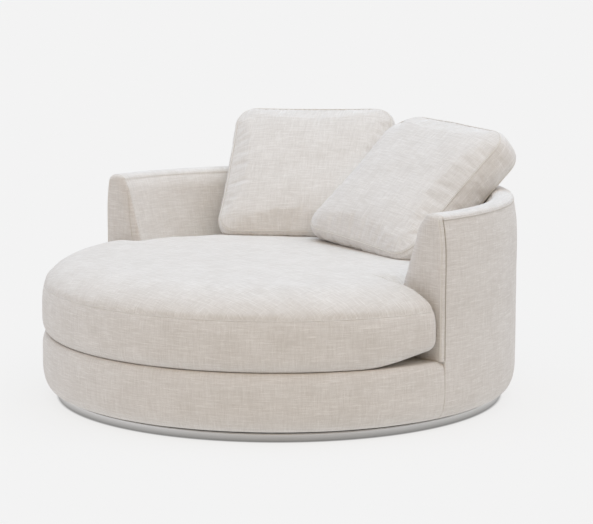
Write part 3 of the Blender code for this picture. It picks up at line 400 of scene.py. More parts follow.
class Nodes:
    """Builds the nodes of a material or a world with short calls."""

    def __init__(self, owner):
        owner.use_nodes = True
        self.owner = owner
        self.tree = owner.node_tree

    def add(self, kind, **settings):
        node = self.tree.nodes.new(kind)
        for key, value in settings.items():
            setattr(node, key, value)
        return node

    def plug(self, value, socket):
        if isinstance(value, bpy.types.NodeSocket):
            self.tree.links.new(value, socket)
        elif value is not None:
            socket.default_value = value

    def made(self, kind, values, output=0, **settings):
        """An output of a new node whose inputs take the values in order; None leaves an input alone."""
        node = self.add(kind, **settings)
        for value, socket in zip(values, node.inputs):
            self.plug(value, socket)
        return node.outputs[output]

    def named(self, kind, **values):
        """A new node whose inputs take the values by name."""
        node = self.add(kind)
        for name, value in values.items():
            self.plug(value, node.inputs[name])
        return node

    def math(self, operation, *values):
        return self.made("ShaderNodeMath", values, operation=operation)

    def times(self, a, b):
        return self.math("MULTIPLY", a, b)

    def plus(self, a, b):
        return self.math("ADD", a, b)

    def wave(self, value, pitch):
        return self.math("SINE", self.times(value, 2 * math.pi / pitch))

    def vector(self, x=0.0, y=0.0, z=0.0):
        return self.made("ShaderNodeCombineXYZ", (x, y, z))

    def place(self):
        return self.add("ShaderNodeTexCoord").outputs["Object"]

    def cloth_place(self):
        return self.separate(self.add("ShaderNodeUVMap", uv_map="weave").outputs[0])[:2]

    def noise(self, place, scale, detail=2.0, roughness=0.5):
        node = self.named("ShaderNodeTexNoise", Vector=place, Scale=scale, Detail=detail, Roughness=roughness)
        return node.outputs["Fac"]

    def span(self, value, low, high, to_low=0.0, to_high=1.0, curve="SMOOTHSTEP"):
        return self.made("ShaderNodeMapRange", (value, low, high, to_low, to_high), interpolation_type=curve)

    def blend(self, share, first, second, mode="MIX"):
        colours = [c if isinstance(c, bpy.types.NodeSocket) else (*c, 1) for c in (first, second)]
        unused = [None] * 5
        return self.made("ShaderNodeMix", (share, *unused, *colours), 2, data_type="RGBA", blend_type=mode)

    def shaded(self, colour, by):
        return self.blend(1.0, colour, by, "MULTIPLY")

    def mix(self, share, first, second):
        return self.made("ShaderNodeMix", (share, None, first, second), data_type="FLOAT")

    def separate(self, vector):
        node = self.add("ShaderNodeSeparateXYZ")
        self.plug(vector, node.inputs[0])
        return node.outputs

    def bump(self, height, distance, strength):
        return self.named("ShaderNodeBump", Strength=strength, Distance=distance, Height=height).outputs[0]

    def finish(self, colour, normal=None, roughness=None, **fixed):
        shader = self.tree.nodes["Principled BSDF"]
        for value, socket in ((colour, "Base Color"), (normal, "Normal"), (roughness, "Roughness")):
            self.plug(value, shader.inputs[socket])
        for key, value in fixed.items():
            shader.inputs[key.replace("_", " ")].default_value = value
        return self.owner


def paint(name):
    return Nodes(bpy.data.materials.new(name))


def toned(colour, share):
    """The colour made darker, or lighter with a share above 1."""
    return [part * share for part in colour]


YARN_PITCH = 0.0027
YARN_SEED_STEP = 7.31        # between the tones of neighbouring yarns
SLUB_REACH = 22.0            # changes of a yarn's thickness per metre of its length
SLUB_LIMITS = ((0.60, 0.80), (0.54, 0.74))
SLUB_SHARES = (0.38, 0.30)   # how far the slubs of warp and weft lighten the cloth
OVER_RISE = 0.35             # how far a yarn rises where it passes over another
STREAK_PITCH = 0.0065        # broader shades that run with the yarns
STREAK_REACHES = (12.0, 14.0)
STREAK_SHARES = (0.40, 0.32)
PATCH_SCALE = 9.0
PATCH_SHARE = 0.28
SHADOW_TINT = (0.925, 0.918, 0.908)
WHITE = (1.0, 1.0, 1.0)
# painted shade in the weave's hollows: the colour there falls to this share
VALLEY_SHADE = 0.93
THREAD_TWIST = 0.0040
ELASTIC_RIB = 0.0025
PLY_LAYERS = 700.0           # per metre of thickness


def woven_cloth(name, dark, light, slub):
    """Plain weave with yarns of uneven thickness, laid out on the cloth coordinates."""
    n = paint(name)
    u, v = n.cloth_place()
    across = [n.math("DIVIDE", value, YARN_PITCH) for value in (u, v)]
    index = [n.math("FLOOR", value) for value in across]
    bulge = [n.math("SINE", n.times(n.math("FRACT", value), math.pi)) for value in across]
    tone = []
    for k, along in ((0, v), (1, u)):
        at = n.vector(n.times(index[k], YARN_SEED_STEP), n.times(along, SLUB_REACH), 3.7 * k)
        tone.append(n.noise(at, 1.0, detail=3.0, roughness=0.6))
    thick = [n.span(value, *limits) for value, limits in zip(tone, SLUB_LIMITS)]
    parity = n.math("MODULO", n.plus(n.plus(index[0], index[1]), 20000.0), 2.0)
    over = (parity, n.math("SUBTRACT", 1.0, parity))
    height = []
    for k in (0, 1):
        swell = n.math("MULTIPLY_ADD", thick[k], 0.9, 0.5)
        height.append(n.math("MULTIPLY_ADD", over[k], OVER_RISE, n.times(bulge[k], swell)))
    lead = n.span(n.math("SUBTRACT", *height), -0.25, 0.25)
    top = n.math("MAXIMUM", *height)
    shade = n.span(n.mix(lead, tone[1], tone[0]), 0.28, 0.72)
    glow = n.mix(lead, *[n.times(thick[k], SLUB_SHARES[k]) for k in (1, 0)])
    colour = n.blend(glow, n.blend(shade, dark, light), slub)
    weft = n.vector(n.times(u, STREAK_REACHES[0]), n.math("DIVIDE", v, STREAK_PITCH))
    warp = n.vector(n.math("DIVIDE", u, STREAK_PITCH), n.times(v, STREAK_REACHES[1]), 5.0)
    streaks = n.plus(*[n.times(n.noise(drawn, 1.0, 3.0, 0.55), share)
                       for drawn, share in zip((weft, warp), STREAK_SHARES)])
    patches = n.noise(n.vector(u, v), PATCH_SCALE)
    clouds = n.math("MULTIPLY_ADD", patches, PATCH_SHARE, streaks)
    colour = n.shaded(colour, n.blend(n.span(clouds, 0.39, 0.61), SHADOW_TINT, WHITE))
    # painted shade: the cloth is darker where its yarns lie low between their neighbours
    valley_shade = n.span(top, 0.25, 0.75, VALLEY_SHADE, 1.0)
    colour = n.shaded(colour, n.vector(valley_shade, valley_shade, valley_shade))
    return n.finish(colour, n.bump(top, 0.0007, 0.5), Roughness=0.95, Sheen_Weight=0.12,
                    Sheen_Roughness=0.5, Specular_IOR_Level=0.25)


def twisted_thread(name, colour):
    """Sewing thread and cord: a fine twist along its length."""
    n = paint(name)
    u, v = n.cloth_place()
    twist = n.wave(n.plus(u, n.times(v, 1.5)), THREAD_TWIST)
    shade = n.blend(n.span(twist, -1.0, 1.0), toned(colour, 0.9), colour)
    return n.finish(shade, n.bump(twist, 0.0003, 0.4), Roughness=0.9, Specular_IOR_Level=0.25)


def soft_cotton(name, colour):
    """Fine lining or tape: a close weave without slubs."""
    n = paint(name)
    place = n.place()
    fine = n.noise(place, 900.0)
    broad = n.noise(place, 12.0)
    shade = n.blend(n.span(broad, 0.3, 0.7), toned(colour, 0.95), colour)
    shade = n.blend(n.span(fine, 0.3, 0.7, 0.0, 0.4), shade, toned(colour, 0.8))
    return n.finish(shade, n.bump(fine, 0.0004, 0.5), Roughness=0.9, Specular_IOR_Level=0.3)


def brushed_steel(name, colour):
    """Satin metal brushed round the ring, with painted shade that darkens it towards the floor."""
    n = paint(name)
    place = n.place()
    x, y, z = n.separate(place)
    angle = n.math("ARCTAN2", y, x)
    streaks = n.noise(n.vector(n.times(angle, 6.0), n.times(z, 900.0)), 1.0, 4.0, 0.7)
    smudge = n.noise(place, 5.0)
    # painted shade: the colour falls to 0.4 of itself towards the ring's foot, in place of the floor's shadow
    # it reflects
    floor_shade = n.blend(n.span(z, TRIM_BOTTOM, TRIM_TOP, curve="LINEAR"), toned(colour, 0.4), colour)
    tone = n.shaded(floor_shade, n.blend(n.span(streaks, 0.3, 0.7), (0.88, 0.88, 0.88), WHITE))
    dull = n.math("MULTIPLY_ADD", n.plus(streaks, smudge), 0.09, 0.26)
    return n.finish(tone, n.bump(streaks, 0.00015, 0.4), dull, Metallic=1.0)


def plated_zinc(name):
    n = paint(name)
    spangle = n.named("ShaderNodeTexVoronoi", Vector=n.place(), Scale=140.0)
    fleck = n.separate(spangle.outputs["Color"])[0]
    tone = n.blend(fleck, (0.60, 0.61, 0.63), (0.74, 0.75, 0.76))
    return n.finish(tone, n.bump(fleck, 0.0001, 0.3), n.span(fleck, 0, 1, 0.28, 0.42), Metallic=1.0)


def plywood(name, colour):
    """Pale birch board with its grain along X and its layers in height."""
    n = paint(name)
    x, y, z = n.separate(n.place())
    grain = n.noise(n.vector(n.times(x, 1.6), n.times(y, 22.0), n.times(z, 22.0)), 2.5, 5.0, 0.6)
    pores = n.noise(n.vector(n.times(x, 30.0), n.times(y, 700.0), z), 1.0)
    layer = n.span(n.math("FRACT", n.times(z, PLY_LAYERS)), 0.35, 0.65, 0.0, 0.35)
    tone = n.blend(n.span(grain, 0.35, 0.65), toned(colour, 0.78), colour)
    tone = n.blend(n.span(pores, 0.6, 0.75, 0.0, 0.45), tone, toned(colour, 0.6))
    tone = n.blend(n.times(layer, 0.5), tone, toned(colour, 0.7))
    return n.finish(tone, n.bump(grain, 0.0006, 0.4), n.span(grain, 0.3, 0.7, 0.55, 0.75))


def moulded_plastic(name, colour):
    n = paint(name)
    place = n.place()
    grain = n.noise(place, 1500.0, detail=1.0)
    tone = n.blend(n.noise(place, 60.0), toned(colour, 0.8), toned(colour, 1.2))
    return n.finish(tone, n.bump(grain, 0.0002, 0.4), n.span(grain, 0.3, 0.7, 0.45, 0.65))


def elastic_webbing(name):
    """Dark elastic with close ribs both ways."""
    n = paint(name)
    place = n.place()
    ribs = n.times(*[n.wave(value, ELASTIC_RIB) for value in n.separate(place)[:2]])
    fuzz = n.noise(place, 400.0)
    tone = n.blend(n.span(n.plus(ribs, fuzz), -0.4, 1.4), (0.035, 0.035, 0.038), (0.16, 0.16, 0.165))
    return n.finish(tone, n.bump(ribs, 0.0005, 0.6), Roughness=0.85)


CLOTH = woven_cloth("ivory_cloth", (0.695, 0.665, 0.630), (0.810, 0.788, 0.760), (0.925, 0.910, 0.890))
# painted light: a lighter, cooler copy of the same ivory cloth, for the inner skin and the pillows
PAINTED_LIGHTER_CLOTH = woven_cloth("ivory_cloth_painted_lighter", (0.735, 0.715, 0.690), (0.845, 0.832, 0.812),
                          (0.945, 0.935, 0.920))
SEAM_THREAD = twisted_thread("seam_thread", (0.84, 0.82, 0.78))
# The two dark threads below are painted shade: their colour stands in for the shade in the creases of the
# seams they line.
DARK_SHADE_THREAD = twisted_thread("dark_shade_thread", (0.42, 0.38, 0.33))
FINE_SHADE_THREAD = twisted_thread("fine_shade_thread", (0.66, 0.63, 0.585))
DECK_CLOTH = soft_cotton("deck_cloth", (0.74, 0.71, 0.66))
TAPE_CLOTH = soft_cotton("zip_tape_cloth", (0.70, 0.67, 0.62))
RING_STEEL = brushed_steel("ring_steel", (0.78, 0.77, 0.755))
ZINC = plated_zinc("bearing_zinc")
BIRCH = plywood("birch_board", (0.72, 0.55, 0.36))
GLIDE_BLACK = moulded_plastic("glide_black", (0.05, 0.05, 0.052))
ELASTIC = elastic_webbing("elastic_webbing")

CARRIED_OVER = {
    BIRCH: ("plinth_board", "base_board", "drum_post", "deck_ring", "back_post", "back_top_rail",
            "arm_end_panel"),
    GLIDE_BLACK: ("centre_glide", "floor_glide"),
    ZINC: ("bearing_",),
    ELASTIC: ("webbing_",),
}


def dress_frame():
    """Better materials on the CAD nodes that stay in view."""
    for material, starts in CARRIED_OVER.items():
        for name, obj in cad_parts.items():
            if name.startswith(starts):
                obj.data.materials.clear()
                obj.data.materials.append(material)


# Outlines of the turned upholstery, as (radius, height)

def strip_point(angle):
    """A point on the strip's crown; 0 is at the outer seam and 180 at the inner one."""
    outer = OVERALL_RADIUS - SHOULDER_INSET
    inner = INNER_RADIUS_TOP + INNER_LIP_LEAN
    turn = math.radians(angle)
    fullness = CROWN_FULLNESS_SHARE if angle < 90 else CROWN_INNER_FULLNESS_SHARE
    rise = STRIP_CROWN * max(0.0, math.sin(turn)) ** fullness
    return (outer + inner) / 2 + (outer - inner) / 2 * math.cos(turn), STRIP_LEVEL + rise


def inner_face():
    width = INNER_RADIUS_TOP - INNER_RADIUS_LOW
    height = PAD_TOP - PAD_BOTTOM
    face = smooth_curve([(INNER_RADIUS_LOW + width * out, PAD_BOTTOM + height * up)
                         for out, up in INNER_FACE_SHARES])
    near_rim = np.clip(1 - (PAD_TOP - face[:, 1]) / INNER_LIP_REACH, 0, 1)
    face[:, 0] += INNER_LIP_LEAN * near_rim ** 2
    return face


def shoulder():
    height = PAD_TOP - SEAT_LEVEL
    return smooth_curve([(OVERALL_RADIUS - SHOULDER_INSET * inset, SEAT_LEVEL + height * up)
                         for inset, up in SHOULDER_SHARES])


def bottom_roll(steps=14):
    found = []
    for k in range(1, steps + 1):
        turn = math.pi / 2 * k / steps
        inset = DRUM_ROLL_WIDTH * (1 - max(0.0, math.cos(turn)) ** ROLL_FULLNESS_SHARE)
        rise = DRUM_ROLL_CLEARANCE + (DRUM_ROLL_HEIGHT - DRUM_ROLL_CLEARANCE) * (1 - math.sin(turn))
        found.append((OVERALL_RADIUS - inset, DRUM_BOTTOM + rise))
    return found


def lining():
    lip_top = BASE_BOARD_BOTTOM - SEATED_GAP
    return [(DRUM_LIP_INNER_RADIUS, DRUM_BOTTOM), (DRUM_LIP_INNER_RADIUS, lip_top),
            (LINING_BOARD_RADIUS, lip_top), (LINING_BOARD_RADIUS, DRUM_LIP_STEP),
            (COVER_INNER_RADIUS, DRUM_LIP_STEP + DRUM_LIP_SLOPE)]


def outline_normals(outline):
    along = unit(np.roll(outline, -1, 0) - np.roll(outline, 1, 0))
    area = np.sum(outline[:, 0] * np.roll(outline[:, 1], -1) - np.roll(outline[:, 0], -1) * outline[:, 1])
    return joined(along[:, 1], -along[:, 0]) * np.sign(area)


def turned_skin(name, shown, hidden, depth, facing, seams=(), seed=0.0, end_round=EDGE_ROUND):
    """Sweeps an outline round the axis up to the plane y = -depth, with soft edges where it ends.

    shown is the upholstered side of the outline and hidden its back. facing is 1 for what lies
    behind the plane and -1 for what lies in front. Gathers run from each height in seams.
    """
    shown = resample(shown, SKIN_STEP)
    outline = np.vstack([shown, resample(hidden, HIDDEN_STEP)])
    weight = (np.arange(len(outline)) < len(shown)).astype(float)
    normals = outline_normals(outline)
    run = run_along(outline)

    half = OVERALL_RADIUS * math.acos(-facing * depth / OVERALL_RADIUS)
    places = graded(2 * half, SKIN_STEP) - half
    from_end = half - np.abs(places)
    r = outline[:, :1]
    angle = places[None, :] / half * np.arccos(-facing * depth / r)
    base = joined(r * np.sin(angle), facing * r * np.cos(angle), outline[:, 1:])

    relief = -rounding(from_end, end_round)[None, :]
    soft = SWELL_HEIGHT * rough(base, 7, seed) + DIMPLE_HEIGHT * rough(base, 23, seed + 5)
    for level in seams:
        near = np.exp(-np.abs(base[..., 2] - level) / GATHER_REACH)
        soft = soft + GATHER_HEIGHT * near * rough(base * (1, 1, 0.3), 45, seed + 9)
    near_end = np.exp(-from_end / PUCKER_REACH)[None, :]
    soft = soft + PUCKER_HEIGHT * near_end * rough(base * (0.3, 0.3, 1), 40, seed + 13)
    keep = np.clip(from_end / EVEN_END, 0, 1)[None, :]
    shift = (relief + np.minimum(soft * keep, SOFT_LIMIT)) * weight[:, None]
    r_moved = r + normals[:, :1] * shift
    z_moved = outline[:, 1:] + normals[:, 1:] * shift
    points = joined(r_moved * np.sin(angle), facing * r_moved * np.cos(angle), z_moved)

    skin = Skin()
    cloth_run = np.append(run, run[-1])
    index = skin.grid(np.vstack([points, points[:1]]), joined(places, cloth_run[:, None]))
    for column in (0, -1):
        skin.cap(index[:-1, column], outline)
    turned = skin.build(name)
    sharpen(turned, HIDDEN_CORNER)
    return turned


def make_cover(name, shown, hidden, depth, facing, replaced, material, **details):
    cover = turned_skin(name, shown, hidden, depth, facing, **details)
    return finish_piece(cover, material, "chair", replaced)


def make_shell():
    straight = [(OVERALL_RADIUS, SEAT_LEVEL), (OVERALL_RADIUS, DRUM_BOTTOM + DRUM_ROLL_HEIGHT)]
    outer = np.vstack([shoulder(), straight, bottom_roll()])
    make_cover("shell_outer_skin", outer, lining() + [(COVER_INNER_RADIUS, PAD_TOP)], SHELL_FRONT_DEPTH, 1,
               ["shell_outer_cover"], CLOTH, seams=(PAD_TOP,), seed=1.7)

    face = inner_face()
    normals = outline_normals(np.vstack([face, [(OVERALL_RADIUS, PAD_TOP), (OVERALL_RADIUS, PAD_BOTTOM)]]))
    rear = face - normals[:len(face)] * PAD_THICKNESS
    rear[[0, -1]] = face[[0, -1]] + (PAD_THICKNESS, 0)
    crown = [strip_point(angle) for angle in np.linspace(180, 0, 41)[1:]]
    under = (OVERALL_RADIUS - SHOULDER_INSET - STRIP_UNDERLAP, STRIP_LEVEL)
    make_cover("shell_inner_skin", np.vstack([face, crown]), np.vstack([[under], rear[::-1]]),
               SHELL_FRONT_DEPTH, 1, ["shell_inner_pad", "shell_top_cover"], PAINTED_LIGHTER_CLOTH, seed=8.3,
               end_round=RIM_END_ROUND)


def make_drum():
    height = SEAT_LEVEL - DRUM_BOTTOM
    turns = np.linspace(0, math.pi / 2, 12, endpoint=False)
    roll = joined(OVERALL_RADIUS - DRUM_TOP_ROLL_WIDTH * (1 - np.sin(turns)),
                  SEAT_LEVEL - DRUM_TOP_ROLL_HEIGHT * (1 - np.cos(turns)))
    face_low = DRUM_BOTTOM + DRUM_ROLL_HEIGHT
    face = [(OVERALL_RADIUS, level) for level in np.linspace(SEAT_LEVEL - DRUM_TOP_ROLL_HEIGHT, face_low, 9)]
    over_ring = DECK_RING_TOP + SEATED_GAP
    rim = DECK_PAD_RADIUS + SEATED_GAP
    shown = np.vstack([[(rim, SEAT_LEVEL)], roll, face, bottom_roll()])
    swell = np.sin(math.pi * np.clip((shown[:, 1] - DRUM_BOTTOM) / height, 0, 1))
    shown[:, 0] += DRUM_BULGE * swell ** 1.5 * (shown[:, 0] > COVER_INNER_RADIUS)
    back = lining() + [(COVER_INNER_RADIUS, over_ring), (rim, over_ring)]
    make_cover("drum_front_skin", shown, back, ARM_BACK_DEPTH, -1, ["drum_front_cover"], CLOTH, seed=5.9)


# Arm fronts

ARM_ROWS = 64
ARM_COLUMNS = 26
ARM_OUTER_ROUND = 0.0050
ARM_INNER_ROUND = 0.0500
ARM_TOP_ROUND = 0.0200
ARM_ROUND_DEPTH = 0.0140
ARM_PANEL_CROWN = 0.0022     # how far the middle of the front stands out
ARM_CROWN_REACH = 0.0300
ARM_CROWN_START = 0.4200     # the height where the crown begins, above the seat cushion
ARM_CROWN_RAMP = 0.0500
ARM_SWELL = 0.0005
ARM_EVEN_EDGE = 0.0200
ARM_EDGE_CLOTH = 0.0100      # cloth that runs over the front's edge


def arm_edges(levels):
    """Radii of the arm's inner and outer face at each height."""
    inside = inner_face()
    outside = shoulder()[::-1]
    return np.interp(levels, inside[:, 1], inside[:, 0]), np.interp(levels, outside[:, 1], outside[:, 0])


def make_arm_front(side, word):
    across = 0.5 - 0.5 * np.cos(math.pi * np.linspace(0, 1, ARM_COLUMNS + 1))
    fullness = np.where(across > 0.5, CROWN_FULLNESS_SHARE, CROWN_INNER_FULLNESS_SHARE)
    rise = np.sqrt(np.clip(1 - (2 * across - 1) ** 2, 0, 1)) ** fullness
    tops = STRIP_LEVEL + STRIP_CROWN * rise
    share = np.sin(math.pi / 2 * np.linspace(0, 1, ARM_ROWS + 1))[:, None]
    z = PAD_BOTTOM + (tops[None, :] - PAD_BOTTOM) * share
    inner, outer = arm_edges(np.minimum(z, STRIP_LEVEL))
    r = inner + (outer - inner) * across[None, :]

    def at(depth):
        return joined(side * np.sqrt(r ** 2 - depth ** 2), -depth, z)

    front = at(ARM_FRONT_DEPTH)
    edge = np.minimum(np.minimum(r - inner, outer - r), tops[None, :] - z)
    crown = ARM_PANEL_CROWN * ease(edge / ARM_CROWN_REACH) * ease((z - ARM_CROWN_START) / ARM_CROWN_RAMP)
    soft = ARM_SWELL * rough(front, 18, 2.0 + side)
    inward = rounding(r - inner, ARM_INNER_ROUND) / ARM_INNER_ROUND * ARM_ROUND_DEPTH
    downward = rounding(tops[None, :] - z, ARM_TOP_ROUND) / ARM_TOP_ROUND * ARM_ROUND_DEPTH
    turned_back = np.minimum(np.hypot(inward, downward), ARM_ROUND_DEPTH)
    turned_back = np.maximum(turned_back, rounding(outer - r, ARM_OUTER_ROUND))
    front[..., 1] += turned_back - crown - soft * ease(edge / ARM_EVEN_EDGE)
    flat = at(ARM_BACK_DEPTH)
    weave = joined(front[..., 0], z)
    skin = Skin()
    skin.grid(front, weave)
    skin.grid(flat, weave)
    rim = [(slice(None), 0), (-1, slice(None)), (slice(None, None, -1), -1), (0, slice(None, None, -1))]
    for row, column in rim:
        strip = np.stack([front[row, column], flat[row, column]])
        cloth = weave[row, column]
        skin.grid(strip, np.stack([cloth, cloth + (side * ARM_EDGE_CLOTH, 0)]))
    arm = skin.build(f"arm_front_skin_{word}")
    sharpen(arm, HIDDEN_CORNER)
    return finish_piece(arm, CLOTH, "chair", [f"arm_front_cover_{word}"])


# Seat cushion

CUSHION_GRID = 96            # columns along each side of the top's grid; its edge has four times as many
CUSHION_ARC_POINTS = 80
CUSHION_EAR_POINTS = 12
CUSHION_NOTCH_POINTS = 8
CUSHION_NOTCH_ROUND = 0.0060
CUSHION_NOTCH_INSET = 0.0030
CUSHION_GRID_POWER = 1.7     # draws the grid's rings closer together near the seam
CUSHION_EAR_CLIMB = 0.2      # share of the seam's climb that the ear takes
CUSHION_EAR_QUICKNESS = 1.4  # how much sooner the ear's lower edge is all lifted
CUSHION_ARM_MARGIN = 0.0040  # how far in front of the arms the ear begins
CUSHION_SIDE_ROWS = 30
CUSHION_END_ROWS = 6         # of them, close together at either end of the side
CUSHION_END_SHARE = 0.05     # share of the side's height that these take, and where the others begin
CUSHION_EVEN_SHARE = 0.08
CUSHION_TUCK = 0.0260        # how far the lower edge turns in
CUSHION_TUCK_SHARE = 0.30
CUSHION_SHOULDER = 0.0085    # and how far the side leans in below the top seam
CUSHION_SHOULDER_SHARE = 0.62
CUSHION_PINCH = 0.0020
CUSHION_EAR_LIFT = 0.0400
CUSHION_LIFT_START = 64.0
CUSHION_LIFT_END = 86.0
CUSHION_ROLL_REACH = 0.1700
CUSHION_ROLL_BEND = 2.2
CUSHION_ROLL_POWER = 0.60
CUSHION_ROLL_SPARE = 0.0500   # cloth that the roll takes up beyond its plan
CUSHION_ROLL_SPARE_REACH = 0.1000
CUSHION_ARM_STIFFNESS = 1.3
CUSHION_DOME_REACH = 0.5200
CUSHION_DOME_SHARE = 0.06
CUSHION_UNDER_REACH = 0.1300
CUSHION_SWELL = 0.0010        # unevenness of the side, and its gathers below the seam
CUSHION_GATHER = 0.0010
CUSHION_GATHER_REACH = 0.0220
CUSHION_RIPPLE = 0.0008       # the same above the tucked lower edge
CUSHION_RIPPLE_REACH = 0.0300
CUSHION_TOP_SWELL = 0.0016    # unevenness of the top, at most this much upwards
CUSHION_TOP_DIMPLES = 0.0010
CUSHION_TOP_LIMIT = 0.0008
CUSHION_TOP_GATHER = 0.0012
CUSHION_EVEN_EDGE = 0.0400
CUSHION_EVEN_SEAM = 0.0040
CUSHION_FREE_START = 0.0600   # from here back the cushion is free of the arms
CUSHION_FREE_REACH = 0.2200


def arc(centre, radius, start, end, count):
    """Points on an arc in plan, angles counted from the rear towards +X, without the last one."""
    turns = np.radians(np.linspace(start, end, count, endpoint=False))
    return [(centre[0] + radius * math.sin(t), centre[1] + radius * math.cos(t)) for t in turns]


def cushion_outline():
    """The T-shaped outline from the front centre round by +X, with the share of the seam's climb."""
    fillet = CUSHION_EAR_ROUND
    centre_y = -CUSHION_EAR_DEPTH - fillet
    centre = (math.sqrt((OVERALL_RADIUS - fillet) ** 2 - centre_y ** 2), centre_y)
    start = math.degrees(math.atan2(centre[0], centre[1]))
    front = arc((0, 0), OVERALL_RADIUS, 180, start, CUSHION_ARC_POINTS)
    ear = arc(centre, fillet, start, 0, CUSHION_EAR_POINTS)
    notch_x = math.sqrt(CUSHION_REAR_RADIUS ** 2 - CUSHION_EAR_DEPTH ** 2) - CUSHION_NOTCH_INSET
    turn = CUSHION_NOTCH_ROUND
    edge = [(x, -CUSHION_EAR_DEPTH)
            for x in np.linspace(centre[0], notch_x + turn, CUSHION_EAR_POINTS, endpoint=False)]
    turn_centre = (notch_x + turn, -CUSHION_EAR_DEPTH + turn)
    notch = [(turn_centre[0] - turn * math.sin(t), turn_centre[1] - turn * math.cos(t))
             for t in np.linspace(0, math.pi / 2, CUSHION_NOTCH_POINTS, endpoint=False)]
    begin = math.degrees(math.atan2(notch_x, turn_centre[1] + 2 * turn))
    rear = arc((0, 0), CUSHION_REAR_RADIUS, begin, 0, CUSHION_ARC_POINTS)
    half = front + ear + edge + notch + rear
    climb = np.concatenate([np.zeros(len(front)), np.linspace(0, CUSHION_EAR_CLIMB, len(ear)),
                            np.linspace(CUSHION_EAR_CLIMB, 1, len(edge)), np.ones(len(notch + rear))])
    points = np.array(half + [(0, CUSHION_REAR_RADIUS)] + [(-x, y) for x, y in reversed(half[1:])])
    return points, ease(np.concatenate([climb, [1], climb[:0:-1]]))


def cushion_sides(points, outward, seam, climb):
    """Rows of points from the tucked lower edge up to the seam; the lower edge lifts at the ears."""
    azimuth = np.degrees(np.arctan2(np.abs(points[:, 0]), -points[:, 1]))
    ear_width = OVERALL_RADIUS - CUSHION_REAR_RADIUS
    along_ear = np.clip((np.abs(points[:, 0]) - CUSHION_REAR_RADIUS) / ear_width, 0, 1)
    lift = CUSHION_EAR_LIFT * ease((azimuth - CUSHION_LIFT_START) / (CUSHION_LIFT_END - CUSHION_LIFT_START))
    beside_arm = points[:, 1] > -CUSHION_EAR_DEPTH - CUSHION_ARM_MARGIN
    low = CUSHION_BOTTOM + lift * np.where(beside_arm, ease(along_ear * CUSHION_EAR_QUICKNESS), 1)
    even_rows = CUSHION_SIDE_ROWS - 2 * CUSHION_END_ROWS
    share = np.concatenate([np.linspace(0, CUSHION_END_SHARE, CUSHION_END_ROWS),
                            np.linspace(CUSHION_EVEN_SHARE, 1 - CUSHION_EVEN_SHARE, even_rows),
                            np.linspace(1 - CUSHION_END_SHARE, 1, CUSHION_END_ROWS)])[:, None]
    level = low[None, :] + (seam - low)[None, :] * share
    near_low = np.clip(1 - share / CUSHION_TUCK_SHARE, 0, 1)
    near_seam = np.clip((share - CUSHION_SHOULDER_SHARE) / (1 - CUSHION_SHOULDER_SHARE), 0, 1)
    tuck = CUSHION_TUCK * (1 - np.sqrt(1 - near_low ** 2))
    shoulder_in = CUSHION_SHOULDER * (1 - climb)[None, :] * near_seam ** 2
    near_end = np.clip((share - (1 - CUSHION_END_SHARE)) / CUSHION_END_SHARE, 0, 1)
    pinch = CUSHION_PINCH * near_end ** 2
    spot = joined(points[:, 0], points[:, 1], level)
    soft = CUSHION_SWELL * rough(spot, 9, 4.4) * (1 - climb)[None, :]
    gather = np.exp(-(seam[None, :] - level) / CUSHION_GATHER_REACH) * rough(spot * (1, 1, 0.3), 50, 7.7)
    ripple = np.exp(-(level - low[None, :]) / CUSHION_RIPPLE_REACH) * rough(spot * (1, 1, 0.3), 38, 1.9)
    soft = soft + np.minimum(CUSHION_GATHER * gather, 0) + np.minimum(CUSHION_RIPPLE * ripple, 0)
    offset = soft * np.sin(math.pi * share) ** 0.3 - tuck - shoulder_in - pinch
    return joined(*[points[:, k] + outward[:, k] * offset for k in (0, 1)], level)


def square_to_outline(columns):
    """For each point of a square grid: how far out it lies, and where on the outline it points."""
    ticks = np.linspace(-1, 1, CUSHION_GRID + 1)
    a, b = np.meshgrid(ticks, ticks)
    ring = np.maximum(np.abs(a), np.abs(b))
    p, q = a / np.maximum(ring, 1e-9), b / np.maximum(ring, 1e-9)
    quarters = np.select([q <= -1 + 1e-9, p >= 1 - 1e-9, q >= 1 - 1e-9], [p * 0.5, 1 + q * 0.5, 2 - p * 0.5],
                         3 - q * 0.5)
    place = (quarters * columns / 4) % columns
    low = np.floor(place + 1e-6).astype(int) % columns
    part = (place - np.floor(place + 1e-6))[..., None]

    def around(values):
        values = np.asarray(values, float).reshape(columns, -1)
        return values[low] * (1 - part) + values[(low + 1) % columns] * part

    return 1 - (1 - ring) ** CUSHION_GRID_POWER, around


def smoothed(field, rounds):
    """Evens a field out inside its fixed border."""
    field = field.copy()
    for _ in range(rounds):
        near = field[:-2, 1:-1] + field[2:, 1:-1] + field[1:-1, :-2] + field[1:-1, 2:]
        field[1:-1, 1:-1] = 0.5 * field[1:-1, 1:-1] + 0.125 * near
    return field


